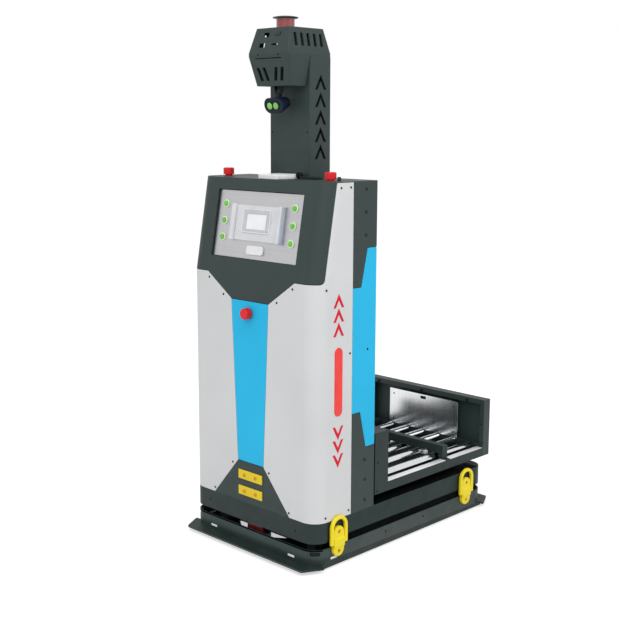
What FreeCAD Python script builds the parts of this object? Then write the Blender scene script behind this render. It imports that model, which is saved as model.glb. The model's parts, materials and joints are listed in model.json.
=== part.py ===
import FreeCAD, Part
import math
import os

# Automated guided vehicle with a control cabinet, a sensor mast and a roller deck.
# Millimetres. X runs across, the front faces -Y, and the floor is Z 0.

V = FreeCAD.Vector
up = V(0, 0, 1)

# Overall size
overall_width = 684.0
overall_length = 1080.0
overall_height = 1900.0

# Material thickness and clearances
plate = 4.0
sheet = 3.0
panel_gap = 2.0
run_fit = 0.05
slide_gap = 0.3

# Lower chassis: floor plate with a bumper at each end, and a skirt with a scan slot above it
ground_clearance = 14.0
floor_thickness = 12.0
bumper_height = 7.0
bumper_side = 17.0
bumper_reach = 48.0
bumper_taper = 37.0
bumper_run = 69.0
bumper_ear = 9.0
bumper_corner = 8.0
skirt_height = 50.0
skirt_drop = 8.0
scan_gap = 23.0
body_corner = 60.0
skirt_slot_width = 34.0
skirt_slot_height = 10.0
skirt_slot_lift = 4.0
skirt_slot_x = 207.0
skirt_slot_setback = 96.0
corner_port_width = 36.0
corner_port_height = 14.0
corner_port_lift = 29.0

# Upper chassis
upper_height = 73.0
upper_flange = 12.0
cable_hole = 60.0

# Safety scanner in the front of the scan slot
scanner_setback = 15.0
scanner_depth = 71.0
scanner_front_half = 48.0
scanner_back_half = 18.0
scanner_corner = 9.0
scanner_base_height = 30.0
scanner_window_height = 44.0
scanner_cap_height = 14.0
scanner_step = 3.0

# Cable opening in the floor plate behind the scanner
sight_x = -64.0
sight_front_half = 86.0
sight_back_half = 158.0
sight_front = 88.0
sight_depth = 52.0
sight_corner = 6.0

# Drive wheels and gear motors
wheel_r = 75.0
wheel_width = 40.0
wheel_inset = 63.0
wheel_setback = 232.0
wheel_edge = 5.0
hub_r = 46.0
hub_dish = 9.0
stub_r = 10.0
stub_length = 26.0
well_gap = 7.0
gearbox_half = 42.0
gearbox_length = 60.0
gearbox_clearance = 4.0
motor_r = 36.0
motor_length = 100.0

# Swivel casters at the rear
caster_inset = 101.0
caster_setback = 100.0
caster_r = 50.0
caster_width = 30.0
caster_trail = 30.0
caster_edge = 4.0
axle_r = 6.0
axle_boss = 12.0
fork_wall = 5.0
fork_side_gap = 2.0
fork_crown_r = 27.0
fork_crown = 9.0
fork_tyre_gap = 8.0
stem_r = 8.0
stem_length = 30.0
race_gap = 0.5
caster_well_gap = 5.0
bracket_half = 42.0

# Support frame between the floor plate and the upper chassis
post = 40.0
rail_inset = 155.0
rail_height = 34.0
front_post_inset = 90.0
front_post_setback = 92.0
mid_post_setback = 342.0
rear_post_x = 90.0
rear_post_setback = 62.0

# Battery and controller
battery_half = 132.0
battery_length = 250.0
battery_height = 92.0
battery_corner = 12.0
battery_lid = 14.0
battery_lid_step = 3.0
terminal_r = 9.0
terminal_height = 8.0
terminal_x = 90.0
controller_half = 130.0
controller_depth = 52.0
controller_height = 280.0
controller_drop = 83.0
fin_count = 9
fin_depth = 12.0
fin_width = 6.0

# Cabinet covers
cabinet_depth = 302.0
cabinet_height = 1169.0
hood_rise = 336.0
lean_run = 60.0
hood_wrap = 42.0
hood_round = 18.0
column_width = 119.0
cover_height = 152.0
cover_low_half = 197.0
cover_top_half = 66.0
stripe_top_half = 94.3
v_drop = 88.0
v_half = 223.0
rail_heights = (80.0, 300.0)
top_rail_drop = 45.0
cover_rail_width = 62.0
cover_rail_corner = 88.0
louvre_drops = (90.0, 780.0)
louvre_count = 6
louvre_pitch = 16.0
louvre_height = 6.0
louvre_half = 110.0
upright = 30.0
upright_inset = 52.0

# Blue side panel: heights above the upper chassis, and widths from the back edge
blue_low = 231.0
blue_low_step = 363.0
blue_high_step = 804.5
blue_high = 939.0
blue_tail_width = 46.0
blue_knee_width = 77.0

# Light bar in the side cladding
bar_setback = 111.5
bar_width = 37.0
bar_low = 370.0
bar_length = 239.0
bar_proud = 2.5
bar_flange = 6.0

# Control panel, measured up the slope from the bend
opening_half = 218.5
opening_low = 57.0
opening_length = 242.4
opening_corner = 6.0
recess = 10.0
recess_wall = 3.0
control_margin = 14.0

# Operator display with two grips
hmi_half = 108.0
hmi_low = 66.0
hmi_length = 125.0
hmi_height = 7.0
hmi_corner = 6.0
bezel_half = 71.0
bezel_low = 94.0
bezel_length = 84.0
bezel_height = 4.0
bezel_rim = 3.5
bezel_sink = 1.5
screen_half = 49.0
screen_low = 106.5
screen_length = 54.0
screen_depth = 2.5
screen_gap = 0.4
grip_r = 11.0
grip_rise = 9.0
grip_gap = 1.0
grip_overhang = 2.0
grip_round = 3.0

# Card reader pad
reader_x = 4.0
reader_v = 34.0
reader_width = 82.0
reader_length = 32.0
reader_height = 8.0
reader_corner = 9.0
reader_edge = 2.5
reader_dot_r = 5.0
reader_dot_depth = 1.0
reader_dot_x = 27.0

# Push buttons in two columns
button_x = 175.0
button_low = 71.0
button_pitch = 60.0
button_rows = 3
button_r = 9.5
button_rise = 8.0
button_travel = 3.0
button_stem_r = 5.0
button_stem = 12.0
button_edge = 1.2
ring_wall = 5.2
ring_height = 3.6
ring_edge = 0.8

# Emergency stops: one on the front stripe and two on the cabinet top
stop_head_r = 20.0
stop_head_height = 30.0
stop_head_edge = 2.5
stop_travel = 5.0
stop_stem_r = 9.0
stop_stem_depth = 20.0
stop_collar_r = 14.0
stop_collar_height = 7.0
stop_collar_edge = 1.5
stop_gap = 1.0
stop_front_drop = 43.0
stop_top_inset = 66.0
stop_top_setback = 137.0

# Flat radio unit on the cabinet top
radio_half = 50.0
radio_gap = 7.0
radio_depth = 105.0
radio_height = 15.0
radio_corner = 10.0
radio_edge = 3.0
radio_rib_count = 4
radio_rib_width = 3.0
radio_rib_pitch = 7.0
radio_rib_depth = 1.5

# Mast and sensor head
mast_half = 102.0
mast_depth = 104.0
mast_edge = 6.0
chevron_pitch = 60.0
chevron_rise = 45.0
chevron_half = 25.0
chevron_stroke = 9.0
chevron_top_drop = 64.5
chevron_margin = 60.0
head_upper = 85.0
head_band = 12.0
head_lower = 100.0
head_reach = 105.0
head_side_taper = 17.0
head_front_taper = 24.0
head_rear_taper = 20.0
head_round = 8.0
head_edge = 4.0
head_gap = 3.0
vent_count = 5
vent_pitch = 31.0
vent_width = 9.0
vent_height = 42.0
vent_drop = 20.0
vent_front = 42.0
slot_width = 11.0
slot_rise = 40.0
slot_lift = 20.0
slot_tops = (30.0, 60.0)
slot_lean = 11.0
port_places = ((-24.0, 61.0, 27.0, 15.0), (-37.5, 25.0, 27.0, 15.0), (24.0, 27.0, 30.0, 6.0),
               (0.0, -19.0, 130.0, 3.0))

# Navigation scanner on top of the head
nav_setback = 85.0
nav_window_r = 32.0
nav_window_height = 34.0
nav_wall = 3.0
nav_cap_r = 45.0
nav_cap_height = 9.0
nav_cap_edge = 2.0
nav_dome = 5.0

# Twin-lens camera under the head
camera_half = 48.0
camera_half_height = 28.0
camera_back_half = 31.0
camera_back_height = 18.0
camera_length = 56.0
camera_tilt = 15.0
camera_setback = 28.0
camera_hang = 61.0
camera_edge = 3.0
lens_x = 15.0
lens_r = 12.0
lens_rim = 2.0
lens_rise = 3.0
lens_pocket = 1.5
pivot_drop = 16.0
pivot_r = 3.5
ear_half = 9.0
ear_wall = 3.0
ear_reach = 9.0
ear_foot = 15.0
lug_side_gap = 0.4
lug_radius = 7.0

# Roller deck
deck_lift = 29.0
deck_gap = 6.0
deck_inset = 15.0
beam_height = 35.0
beam_width = 30.0
wall_height = 232.0
housing_depth = 97.0
wall_depth = 40.0
wall_return = 20.0
bearing_plate = 5.0
bearing_height = 49.0
runner_x = 205.0
runner_width = 50.0
runner_inset = 14.0

# Rollers
roller_count = 7
roller_margin = 61.0
roller_r = 16.0
roller_clearance = 19.0
roller_end_gap = 5.0
roller_edge = 1.0
roller_wall = 3.0
roller_recess = 6.0
shaft_r = 6.0
shaft_reach = 3.0

# Polished liner plate on the rear wall
liner_half = 182.0
liner_lift = 50.0
liner_height = 152.0
liner_thickness = 2.0
liner_stand = 3.0
liner_window_width = 28.0
liner_window_height = 12.0
liner_window_drop = 7.0
standoff_r = 8.0
standoff_inset = 22.0

# Lane divider across the deck
divider_setback = 229.0
divider_width = 30.0
divider_height = 33.0
divider_gap = 3.0
divider_inset = 18.0
divider_edge = 3.0
foot_length = 20.0

# Charge contacts on the lower cover
contact_half = 62.0
contact_height = 34.0
contact_low = 26.0
contact_pitch = 60.0
contact_thickness = 4.0
contact_edge = 1.5

# Lifting points on the chassis sides
lug_front_setback = 110.0
lug_rear_setback = 134.0
lug_low = 39.0
lug_height = 110.0
lug_half = 27.0
lug_thickness = 12.0
lug_band_rise = 4.0
lug_band_half = 17.0
lug_edge = 4.0
lug_screw_r = 7.0
lug_screw_depth = 6.0
lug_screw_inset = 20.0
ring_axis_lift = 51.0
ring_axis_out = 9.0
ring_top = 187.0
ring_bar = 13.0
ring_depth = 13.0
ring_side_gap = 1.5
ring_pin_r = 5.0
ring_pin_length = 12.0
ring_round = 4.0

# Levels and faces that follow from the sizes above
half_width = overall_width / 2
half_length = overall_length / 2
body_x = half_width - bumper_side
body_y = half_length - bumper_reach
floor_z = ground_clearance + floor_thickness
skirt_z = floor_z + skirt_height
upper_z = skirt_z + scan_gap
base_z = upper_z + upper_height
cab_front = -body_y
cab_back = cab_front + cabinet_depth
cab_top = base_z + cabinet_height
bend_z = cab_top - hood_rise
column_front = cab_back - column_width
lean = math.atan2(lean_run, hood_rise)
mast_front = cab_back - mast_depth
head_top = overall_height - nav_cap_height - nav_window_height
band_top = head_top - head_upper
mast_top = band_top - head_band
head_low = mast_top - head_lower
head_front = mast_front - head_reach
deck_z = base_z + deck_lift
beam_top = deck_z + beam_height
wall_top = deck_z + wall_height
deck_front = cab_back + deck_gap
housing_back = cab_back + housing_depth
wall_front = half_length - wall_depth
roller_z = deck_z + sheet + roller_clearance + roller_r
roller_top = roller_z + roller_r
control_face = -recess
wheel_x = body_x - wheel_inset
wheel_y = cab_front + wheel_setback
caster_x = body_x - caster_inset
caster_y = body_y - caster_setback
rail_x = body_x - rail_inset
front_post_x = body_x - front_post_inset
front_post_y = cab_front + front_post_setback
mid_post_ys = (cab_front + mid_post_setback, body_y - mid_post_setback)
rear_post_y = body_y - rear_post_setback
stop_top_x = body_x - stop_top_inset
deck_half = body_x - deck_inset
roller_pitch = 2 * (deck_half - roller_margin) / (roller_count - 1)
lug_front_y = cab_front + lug_front_setback
lug_rear_y = body_y - lug_rear_setback


def at_z(z):
    return lambda a, b: V(a, b, z)


def at_y(y):
    return lambda a, b: V(a, y, b)


def at_x(x):
    return lambda a, b: V(x, a, b)


def rect(a0, a1, b0, b1):
    return [(a0, b0), (a1, b0), (a1, b1), (a0, b1)]


def outline(points, radii, place):
    # Closed face through the points, with each corner rounded by its radius
    if not isinstance(radii, (list, tuple)):
        radii = [radii] * len(points)
    joints = []
    for i, radius in enumerate(radii):
        before = V(*points[i - 1], 0)
        corner = V(*points[i], 0)
        after = V(*points[(i + 1) % len(points)], 0)
        if radius <= 0:
            joints.append((corner, None, corner))
            continue
        back = (before - corner).normalize()
        on = (after - corner).normalize()
        half = back.getAngle(on) / 2
        inward = (back + on).normalize()
        middle = corner + inward * (radius / math.sin(half) - radius)
        reach = radius / math.tan(half)
        joints.append((corner + back * reach, middle, corner + on * reach))
    edges = []
    for i, (start, middle, end) in enumerate(joints):
        follow = joints[(i + 1) % len(joints)][0]
        if middle is not None:
            arc = [place(p.x, p.y) for p in (start, middle, end)]
            edges.append(Part.Arc(*arc).toShape())
        if (follow - end).Length > 1e-6:
            edges.append(Part.makeLine(place(end.x, end.y), place(follow.x, follow.y)))
    return Part.Face(Part.Wire(edges))


def prism(points, radii, place, reach):
    return outline(points, radii, place).extrude(reach)


def box(x0, x1, y0, y1, z0, z1):
    return Part.makeBox(x1 - x0, y1 - y0, z1 - z0, V(x0, y0, z0))


def tube(x0, x1, y0, y1, z0, z1, along):
    # Square tube that is open at both ends of the named axis
    walls = [0 if axis == along else sheet for axis in "xyz"]
    inner = box(x0 + walls[0], x1 - walls[0], y0 + walls[1], y1 - walls[1], z0 + walls[2], z1 - walls[2])
    return box(x0, x1, y0, y1, z0, z1).cut(inner)


def cylinder(r, length, base, axis=up):
    return Part.makeCylinder(r, length, base, axis)


def turned(profile, base, axis):
    # Solid of revolution: profile holds radius and distance along the axis
    points = [V(radius, 0, along) for radius, along in profile]
    face = Part.Face(Part.makePolygon(points + points[:1]))
    solid = face.revolve(V(0, 0, 0), up, 360)
    solid.Placement = FreeCAD.Placement(base, FreeCAD.Rotation(up, axis))
    return solid


def joined(shapes):
    return shapes[0].multiFuse(shapes[1:]).removeSplitter()


def both_sides(shape):
    return [shape, mirrored(shape)]


def mirrored(shape):
    return shape.mirror(V(0, 0, 0), V(1, 0, 0))


def rounded(shape, radius, picked):
    return shape.makeFillet(radius, [edge for edge in shape.Edges if picked(edge)])


def edge_level(z):
    return lambda edge: abs(edge.BoundBox.ZMin - z) < 1e-4 and abs(edge.BoundBox.ZMax - z) < 1e-4


def on_slope(shape):
    # Shapes for the leaning panel are drawn flat: X across, Y up the slope, Z out of it
    turn = FreeCAD.Rotation(V(1, 0, 0), 90 - math.degrees(lean))
    shape.Placement = FreeCAD.Placement(V(0, cab_front, bend_z), turn).multiply(shape.Placement)
    return shape


def plan(inset, z0, z1):
    # Rounded outline that both chassis halves share
    reach_x = body_x - inset
    reach_y = body_y - inset
    points = rect(-reach_x, reach_x, -reach_y, reach_y)
    return prism(points, body_corner - inset, at_z(z0), V(0, 0, z1 - z0))


def lower_chassis():
    floor = plan(0, ground_clearance, floor_z)
    skirt = plan(0, floor_z, skirt_z).cut(plan(plate, floor_z, skirt_z))
    edges = bumpers() + both_sides(side_strip())
    cuts = []
    depth = floor_thickness
    well_x = wheel_width / 2 + well_gap
    well_y = wheel_r + well_gap
    caster_reach = caster_trail + caster_r + caster_well_gap
    wheel_well = box(wheel_x - well_x, wheel_x + well_x, wheel_y - well_y, wheel_y + well_y,
                     ground_clearance, floor_z)
    caster_well = cylinder(caster_reach, depth, V(caster_x, caster_y, ground_clearance))
    slot_z = floor_z + skirt_slot_lift
    half_slot = skirt_slot_width / 2
    front_slot = box(skirt_slot_x - half_slot, skirt_slot_x + half_slot, -body_y, body_y,
                     slot_z, slot_z + skirt_slot_height)
    slot_y = cab_front + skirt_slot_setback
    side_slot = box(-body_x, body_x, slot_y - half_slot, slot_y + half_slot,
                    slot_z, slot_z + skirt_slot_height)
    for cut in (wheel_well, caster_well, front_slot, corner_port()):
        cuts.extend(both_sides(cut))
    cuts += [side_slot, sight_opening()]
    return joined([floor, skirt] + edges).cut(Part.makeCompound(cuts)).removeSplitter()


def bumpers():
    # Low ledge at each end that widens from its tip to a pair of ears behind the skirt's corners
    tip = half_width - bumper_taper
    wide = half_length - bumper_run
    ear = wide - bumper_ear
    straight = body_y - body_corner
    side = [(tip, half_length), (half_width, wide), (half_width, ear), (body_x, ear), (body_x, straight)]
    points = side + [(-x, y) for x, y in reversed(side)]
    radii = [bumper_corner] + [0] * (len(points) - 2) + [bumper_corner]
    rear = prism(points, radii, at_z(ground_clearance), V(0, 0, bumper_height))
    return [rear, rear.mirror(V(0, 0, 0), V(0, 1, 0))]


def side_strip():
    # The skirt's sides reach below the floor plate, from one pair of ears to the other
    end = half_length - bumper_run
    return box(body_x - plate, body_x, -end, end,
               ground_clearance - skirt_drop, ground_clearance + bumper_height)


def sight_opening():
    # Tapered opening that lets the scanner's leads through the floor plate
    y = cab_front + sight_front
    points = [(sight_x - sight_front_half, y), (sight_x + sight_front_half, y),
              (sight_x + sight_back_half, y + sight_depth), (sight_x - sight_back_half, y + sight_depth)]
    return prism(points, sight_corner, at_z(ground_clearance), V(0, 0, floor_thickness))


def corner_port():
    # Opening in the rounded front corner of the skirt, square to the corner's diagonal
    reach = body_corner / 2
    half = corner_port_width / 2
    low = floor_z + corner_port_lift
    port = box(reach, 2 * reach, -half, half, low, low + corner_port_height)
    port.rotate(V(0, 0, 0), up, -45)
    port.translate(V(body_x - body_corner, body_corner - body_y, 0))
    return port


def upper_chassis():
    pan = plan(0, upper_z, base_z).cut(plan(plate, upper_z, base_z - plate))
    flange = plan(plate, upper_z, upper_z + sheet).cut(plan(upper_flange, upper_z, upper_z + sheet))
    hole_y = (cab_front + cab_back) / 2
    hole = cylinder(cable_hole, plate, V(0, hole_y, base_z - plate))
    return joined([pan, flange]).cut(hole)


def support_frame():
    # Bolted square tubes: posts, cross members on them, and rails between the cross members
    under = base_z - plate
    rail_z = under - rail_height
    half = post / 2
    stations = [(front_post_x, front_post_y), (rail_x, mid_post_ys[0]), (rail_x, mid_post_ys[1]),
                (rear_post_x, rear_post_y)]
    bars = []
    for x, y in stations:
        reach = max(x, rail_x) + half
        bars.append(tube(-reach, reach, y - half, y + half, rail_z, under, "x"))
        bars += both_sides(tube(x - half, x + half, y - half, y + half, floor_z, rail_z, "z"))
    for (_, start), (_, end) in zip(stations, stations[1:]):
        bars += both_sides(tube(rail_x - half, rail_x + half, start + half, end - half, rail_z, under, "y"))
    return Part.makeCompound(bars + both_sides(caster_bracket(rail_x + half, under)))


def caster_bracket(x0, under):
    low = fork_top() + race_gap
    body = box(x0, caster_x + bracket_half, caster_y - bracket_half, caster_y + bracket_half, low, under)
    return body.cut(cylinder(stem_r + run_fit, stem_length, V(caster_x, caster_y, low)))


def safety_scanner():
    # Flat-fronted housing that narrows to the back, with a window pinched in between base and cap
    window_z = floor_z + scanner_base_height
    cap_z = window_z + scanner_window_height
    base = scanner_plan(0, floor_z).extrude(V(0, 0, scanner_base_height))
    cap = scanner_plan(0, cap_z).extrude(V(0, 0, scanner_cap_height))
    middle = (window_z + cap_z) / 2
    wires = [scanner_plan(inset, z).OuterWire
             for inset, z in ((0, window_z), (scanner_step, middle), (0, cap_z))]
    window = Part.makeLoft(wires, True, True)
    return joined([base, window, cap])


def scanner_plan(inset, z):
    y0 = cab_front + scanner_setback + inset
    y1 = cab_front + scanner_setback + scanner_depth - inset
    front = scanner_front_half - inset
    back = scanner_back_half - inset
    points = [(-front, y0), (front, y0), (back, y1), (-back, y1)]
    return outline(points, scanner_corner - inset, at_z(z))


def drive_motor():
    face = wheel_x - wheel_width / 2 - gearbox_clearance
    inner = face - gearbox_length
    gearbox = box(inner, face, wheel_y - gearbox_half, wheel_y + gearbox_half,
                  floor_z, wheel_r + gearbox_half)
    axle = V(inner, wheel_y, wheel_r)
    motor = cylinder(motor_r, motor_length, axle, V(-1, 0, 0))
    bore = cylinder(stub_r + run_fit, stub_length, V(face, wheel_y, wheel_r), V(-1, 0, 0))
    return joined([gearbox, motor]).cut(bore)


def drive_wheel():
    # Wheel on the +X side; its stub shaft points inward into the gearbox
    half = wheel_width / 2
    dish = half - hub_dish
    profile = [(0, -half - stub_length), (stub_r, -half - stub_length), (stub_r, -half),
               (wheel_r - wheel_edge, -half), (wheel_r, -half + wheel_edge),
               (wheel_r, half - wheel_edge), (wheel_r - wheel_edge, half),
               (hub_r, half), (hub_r - hub_dish, dish), (0, dish)]
    return turned(profile, V(wheel_x, wheel_y, wheel_r), V(1, 0, 0))


def fork_top():
    return 2 * caster_r + fork_tyre_gap + fork_crown


def caster_fork():
    crown_z = fork_top() - fork_crown
    crown = cylinder(fork_crown_r, fork_crown, V(0, 0, crown_z))
    stem = cylinder(stem_r, stem_length - sheet, V(0, 0, fork_top()))
    inner = caster_width / 2 + fork_side_gap
    leg = prism([(-fork_crown_r / 2, crown_z + fork_crown), (caster_trail - axle_boss, caster_r - axle_boss),
                 (caster_trail + axle_boss, caster_r - axle_boss),
                 (fork_crown_r, crown_z + fork_crown)],
                [0, axle_boss, axle_boss, 0], at_x(inner), V(fork_wall, 0, 0))
    axle = cylinder(axle_r, 2 * inner, V(-inner, caster_trail, caster_r), V(1, 0, 0))
    fork = joined([crown, stem, axle] + both_sides(leg))
    fork.translate(V(caster_x, caster_y, 0))
    return fork


def caster_wheel():
    half = caster_width / 2
    bore = axle_r + run_fit
    profile = [(bore, -half), (caster_r - caster_edge, -half), (caster_r, -half + caster_edge),
               (caster_r, half - caster_edge), (caster_r - caster_edge, half), (bore, half)]
    return turned(profile, V(caster_x, caster_y + caster_trail, caster_r), V(1, 0, 0))


def battery_pack():
    y0 = (mid_post_ys[0] + mid_post_ys[1] - battery_length) / 2
    body_top = floor_z + battery_height - battery_lid
    points = rect(-battery_half, battery_half, y0, y0 + battery_length)
    case = prism(points, battery_corner, at_z(floor_z), V(0, 0, battery_height - battery_lid))
    step = battery_lid_step
    wide = rect(-battery_half - step, battery_half + step, y0 - step, y0 + battery_length + step)
    lid = prism(wide, battery_corner + step, at_z(body_top), V(0, 0, battery_lid))
    terminals = [cylinder(terminal_r, terminal_height, V(x, y0 + battery_length / 2, body_top + battery_lid))
                 for x in (-terminal_x, terminal_x)]
    return joined([case, lid] + terminals)


def drive_controller():
    z0 = bend_z - controller_drop - controller_height
    back = cab_back - sheet
    case = box(-controller_half, controller_half, back - controller_depth, back, z0, z0 + controller_height)
    pitch = 2 * controller_half / fin_count
    fins = []
    for i in range(fin_count):
        x = -controller_half + pitch * (i + 0.5)
        fins.append(box(x - fin_width / 2, x + fin_width / 2, back - controller_depth - fin_depth,
                        back - controller_depth, z0, z0 + controller_height))
    return joined([case] + fins)


def cabinet_solid(inset, low, high):
    # Cabinet body: upright to the bend, then leaning back to the top
    def section(front, z):
        reach = body_x - inset
        corner = body_corner - inset
        points = rect(-reach, reach, front + inset, cab_back - inset)
        return outline(points, [corner, corner, 0, 0], at_z(z)).OuterWire
    slope = lean_run / hood_rise
    lower = Part.Face(section(cab_front, low)).extrude(V(0, 0, bend_z - low))
    top_front = cab_front + slope * (high - bend_z)
    upper = Part.makeLoft([section(cab_front, bend_z), section(top_front, high)], True, True)
    return lower.fuse(upper)


def cabinet_skin():
    return cabinet_solid(0, base_z, cab_top).cut(cabinet_solid(sheet, base_z, cab_top - sheet))


def hood_zone(grow):
    # Leaning part that wraps the front corners, and the V that points down the front
    far = 2 * body_y
    low = bend_z - grow
    edge = cab_front + hood_wrap + grow
    side = [(-far, low), (edge, low), (edge + lean_run, cab_top), (-far, cab_top)]
    wrap = prism(side, [0, hood_round + grow, 0, 0], at_x(-body_x), V(2 * body_x, 0, 0))
    slant = math.hypot(v_half - stripe_top_half, v_drop)
    spread = grow * slant / v_drop
    tip = bend_z - v_drop - grow
    tip_half = stripe_top_half + spread - grow * (v_half - stripe_top_half) / v_drop
    v_shape = [(-v_half - spread, bend_z), (-tip_half, tip), (tip_half, tip), (v_half + spread, bend_z)]
    reach = V(0, sheet, 0)
    return wrap.fuse(prism(v_shape, 0, at_y(cab_front), reach))


def front_zone(grow):
    # Centre of the front: lower cover and stripe, as one outline
    cover_top = base_z + cover_height
    tip = bend_z - v_drop
    points = [(-cover_low_half - grow, base_z), (cover_low_half + grow, base_z),
              (cover_top_half + grow, cover_top), (stripe_top_half + grow, tip),
              (-stripe_top_half - grow, tip), (-cover_top_half - grow, cover_top)]
    return prism(points, 0, at_y(cab_front), V(0, sheet, 0))


def lower_front_cover():
    top = base_z + cover_height
    band = box(-body_x, body_x, cab_front, cab_front + sheet, base_z, top)
    return front_zone(0).common(band)


def front_stripe():
    low = base_z + cover_height + panel_gap
    high = bend_z - v_drop - panel_gap
    band = box(-body_x, body_x, cab_front, cab_front + sheet, low, high)
    hole = cylinder(stop_stem_r + stop_gap, sheet, V(0, cab_front, stop_front_z()), V(0, 1, 0))
    return front_zone(0).common(band).cut(hole)


def control_hood(skin):
    body = skin.common(hood_zone(0))
    body = body.common(box(-body_x, body_x, -half_length, half_length, base_z, cab_top - sheet))
    window = control_rect(0, -recess, recess)
    frame = control_rect(recess_wall, -recess, recess)
    return joined([body, frame]).cut(window)


def control_rect(grow, h0, depth):
    points = rect(-opening_half - grow, opening_half + grow,
                  opening_low - grow, opening_low + opening_length + grow)
    return on_slope(prism(points, opening_corner + grow, at_z(h0), V(0, 0, depth)))


def cladding(skin):
    sides = box(-body_x, body_x, cab_front, column_front - panel_gap, base_z, cab_top - sheet)
    body = skin.common(sides).cut(hood_zone(panel_gap)).cut(front_zone(panel_gap))
    slot = bar_outline(slide_gap, -body_x, 2 * body_x)
    return sorted(body.cut(slot).Solids, key=lambda solid: solid.CenterOfMass.x)


def bar_outline(grow, x, reach):
    y = cab_front + bar_setback
    half = bar_width / 2 + grow
    low = base_z + bar_low - grow
    high = base_z + bar_low + bar_length + grow
    return prism(rect(y - half, y + half, low, high), half, at_x(x), V(reach, 0, 0))


def light_bar():
    inner = body_x - sheet
    lens = bar_outline(0, inner, sheet + bar_proud)
    flange = bar_outline(bar_flange, inner - sheet, sheet)
    return joined([lens, flange])


def blue_outline(grow, x, reach):
    back = cab_back
    points = [(back, base_z + blue_low - grow), (back, base_z + blue_high + grow),
              (back - blue_tail_width - grow, base_z + blue_high + grow),
              (back - blue_knee_width - grow, base_z + blue_high_step + grow),
              (column_front - grow, base_z + blue_high_step + grow),
              (column_front - grow, base_z + blue_low_step - grow),
              (back - blue_knee_width - grow, base_z + blue_low_step - grow),
              (back - blue_tail_width - grow, base_z + blue_low - grow)]
    return prism(points, 0, at_x(x), V(reach, 0, 0))


def blue_panel():
    return blue_outline(0, body_x - sheet, sheet)


def cabinet_carcass(skin):
    high = cab_top - sheet
    rear = box(-body_x, body_x, column_front, cab_back, base_z, cab_top)
    top = box(-body_x, body_x, cab_front, cab_back, high, cab_top)
    shell = skin.common(rear.fuse(top))
    shell = shell.cut(Part.makeCompound(both_sides(blue_outline(panel_gap, body_x - sheet, sheet))))
    pieces = [shell]
    inner = body_x - sheet
    backing = box(inner - sheet, inner, column_front, cab_back, base_z, high)
    pieces += both_sides(backing)
    frame_x = body_x - sheet - upright_inset
    top_rail = bend_z - top_rail_drop
    for y, top in ((cab_front + sheet + upright_inset, top_rail + plate), (cab_back - sheet - upright, high)):
        pieces += both_sides(tube(frame_x - upright, frame_x, y, y + upright, base_z, top, "z"))
    for z in [base_z + height for height in rail_heights] + [top_rail]:
        pieces.append(cover_rail(z))
    body = joined(pieces)
    holes = [cylinder(stop_stem_r + stop_gap, sheet, V(x, stop_top_y(), high))
             for x in (-stop_top_x, stop_top_x)]
    holes.append(cylinder(cable_hole / 2, sheet, V(0, (mast_front + cab_back) / 2, high)))
    for drop in louvre_drops:
        for i in range(louvre_count):
            z = cab_top - drop - louvre_pitch * i
            holes.append(box(-louvre_half, louvre_half, cab_back - sheet, cab_back, z - louvre_height, z))
    return body.cut(Part.makeCompound(holes))


def cover_rail(z):
    # Flat rail inside the covers; its corners stay clear of the rounded cladding
    reach = body_x - sheet
    wide = rect(-reach, reach, cab_front + sheet, cab_back - sheet)
    narrow = rect(-reach + cover_rail_width, reach - cover_rail_width,
                  cab_front + sheet + cover_rail_width, cab_back - sheet - cover_rail_width)
    corner = cover_rail_corner
    outer = prism(wide, [corner, corner, 0, 0], at_z(z), V(0, 0, plate))
    return outer.cut(prism(narrow, 0, at_z(z), V(0, 0, plate)))


def stop_top_y():
    return cab_front + stop_top_setback


def stop_front_z():
    return bend_z - v_drop - stop_front_drop


def control_plate():
    body = control_rect(control_margin, control_face - sheet, sheet)
    holes = [on_slope(cylinder(button_stem_r + run_fit, sheet, V(x, v, control_face - sheet)))
             for x, v in button_places()]
    return body.cut(Part.makeCompound(holes))


def button_places():
    # Left column first, each from the top down
    rows = [opening_low + button_low + button_pitch * i for i in reversed(range(button_rows))]
    return [(x, v) for x in (-button_x, button_x) for v in rows]


def push_button(place):
    x, v = place
    low = control_face + button_travel + slide_gap
    high = control_face + button_rise
    edge = button_edge
    profile = [(0, control_face - button_stem), (button_stem_r, control_face - button_stem),
               (button_stem_r, low), (button_r, low), (button_r, high - edge), (button_r - edge, high),
               (0, high)]
    return on_slope(turned(profile, V(x, v, 0), up))


def button_ring(place):
    x, v = place
    bore = button_r + slide_gap
    outer = bore + ring_wall
    edge = ring_edge
    high = control_face + ring_height
    profile = [(bore, control_face), (outer, control_face), (outer, high - edge), (outer - edge, high),
               (bore, high)]
    return on_slope(turned(profile, V(x, v, 0), up))


def hmi_housing():
    low = opening_low + hmi_low
    case = prism(rect(-hmi_half, hmi_half, low, low + hmi_length), hmi_corner,
                 at_z(control_face), V(0, 0, hmi_height))
    face = control_face + hmi_height
    frame = bezel_block(0, face, bezel_height)
    inside = bezel_block(bezel_rim, face + bezel_height - bezel_sink, bezel_sink)
    return on_slope(joined([case, frame]).cut(inside).cut(screen_block(screen_gap, screen_depth)))


def bezel_block(inset, base, height):
    low = opening_low + bezel_low
    points = rect(-bezel_half + inset, bezel_half - inset, low + inset, low + bezel_length - inset)
    return prism(points, hmi_corner - inset, at_z(base), V(0, 0, height))


def screen_block(grow, depth):
    low = opening_low + screen_low - grow
    high = low + screen_length + 2 * grow
    base = control_face + hmi_height + bezel_height - bezel_sink - screen_depth
    points = rect(-screen_half - grow, screen_half + grow, low, high)
    return prism(points, 0, at_z(base), V(0, 0, depth))


def hmi_screen():
    return on_slope(screen_block(0, screen_depth - slide_gap))


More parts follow.
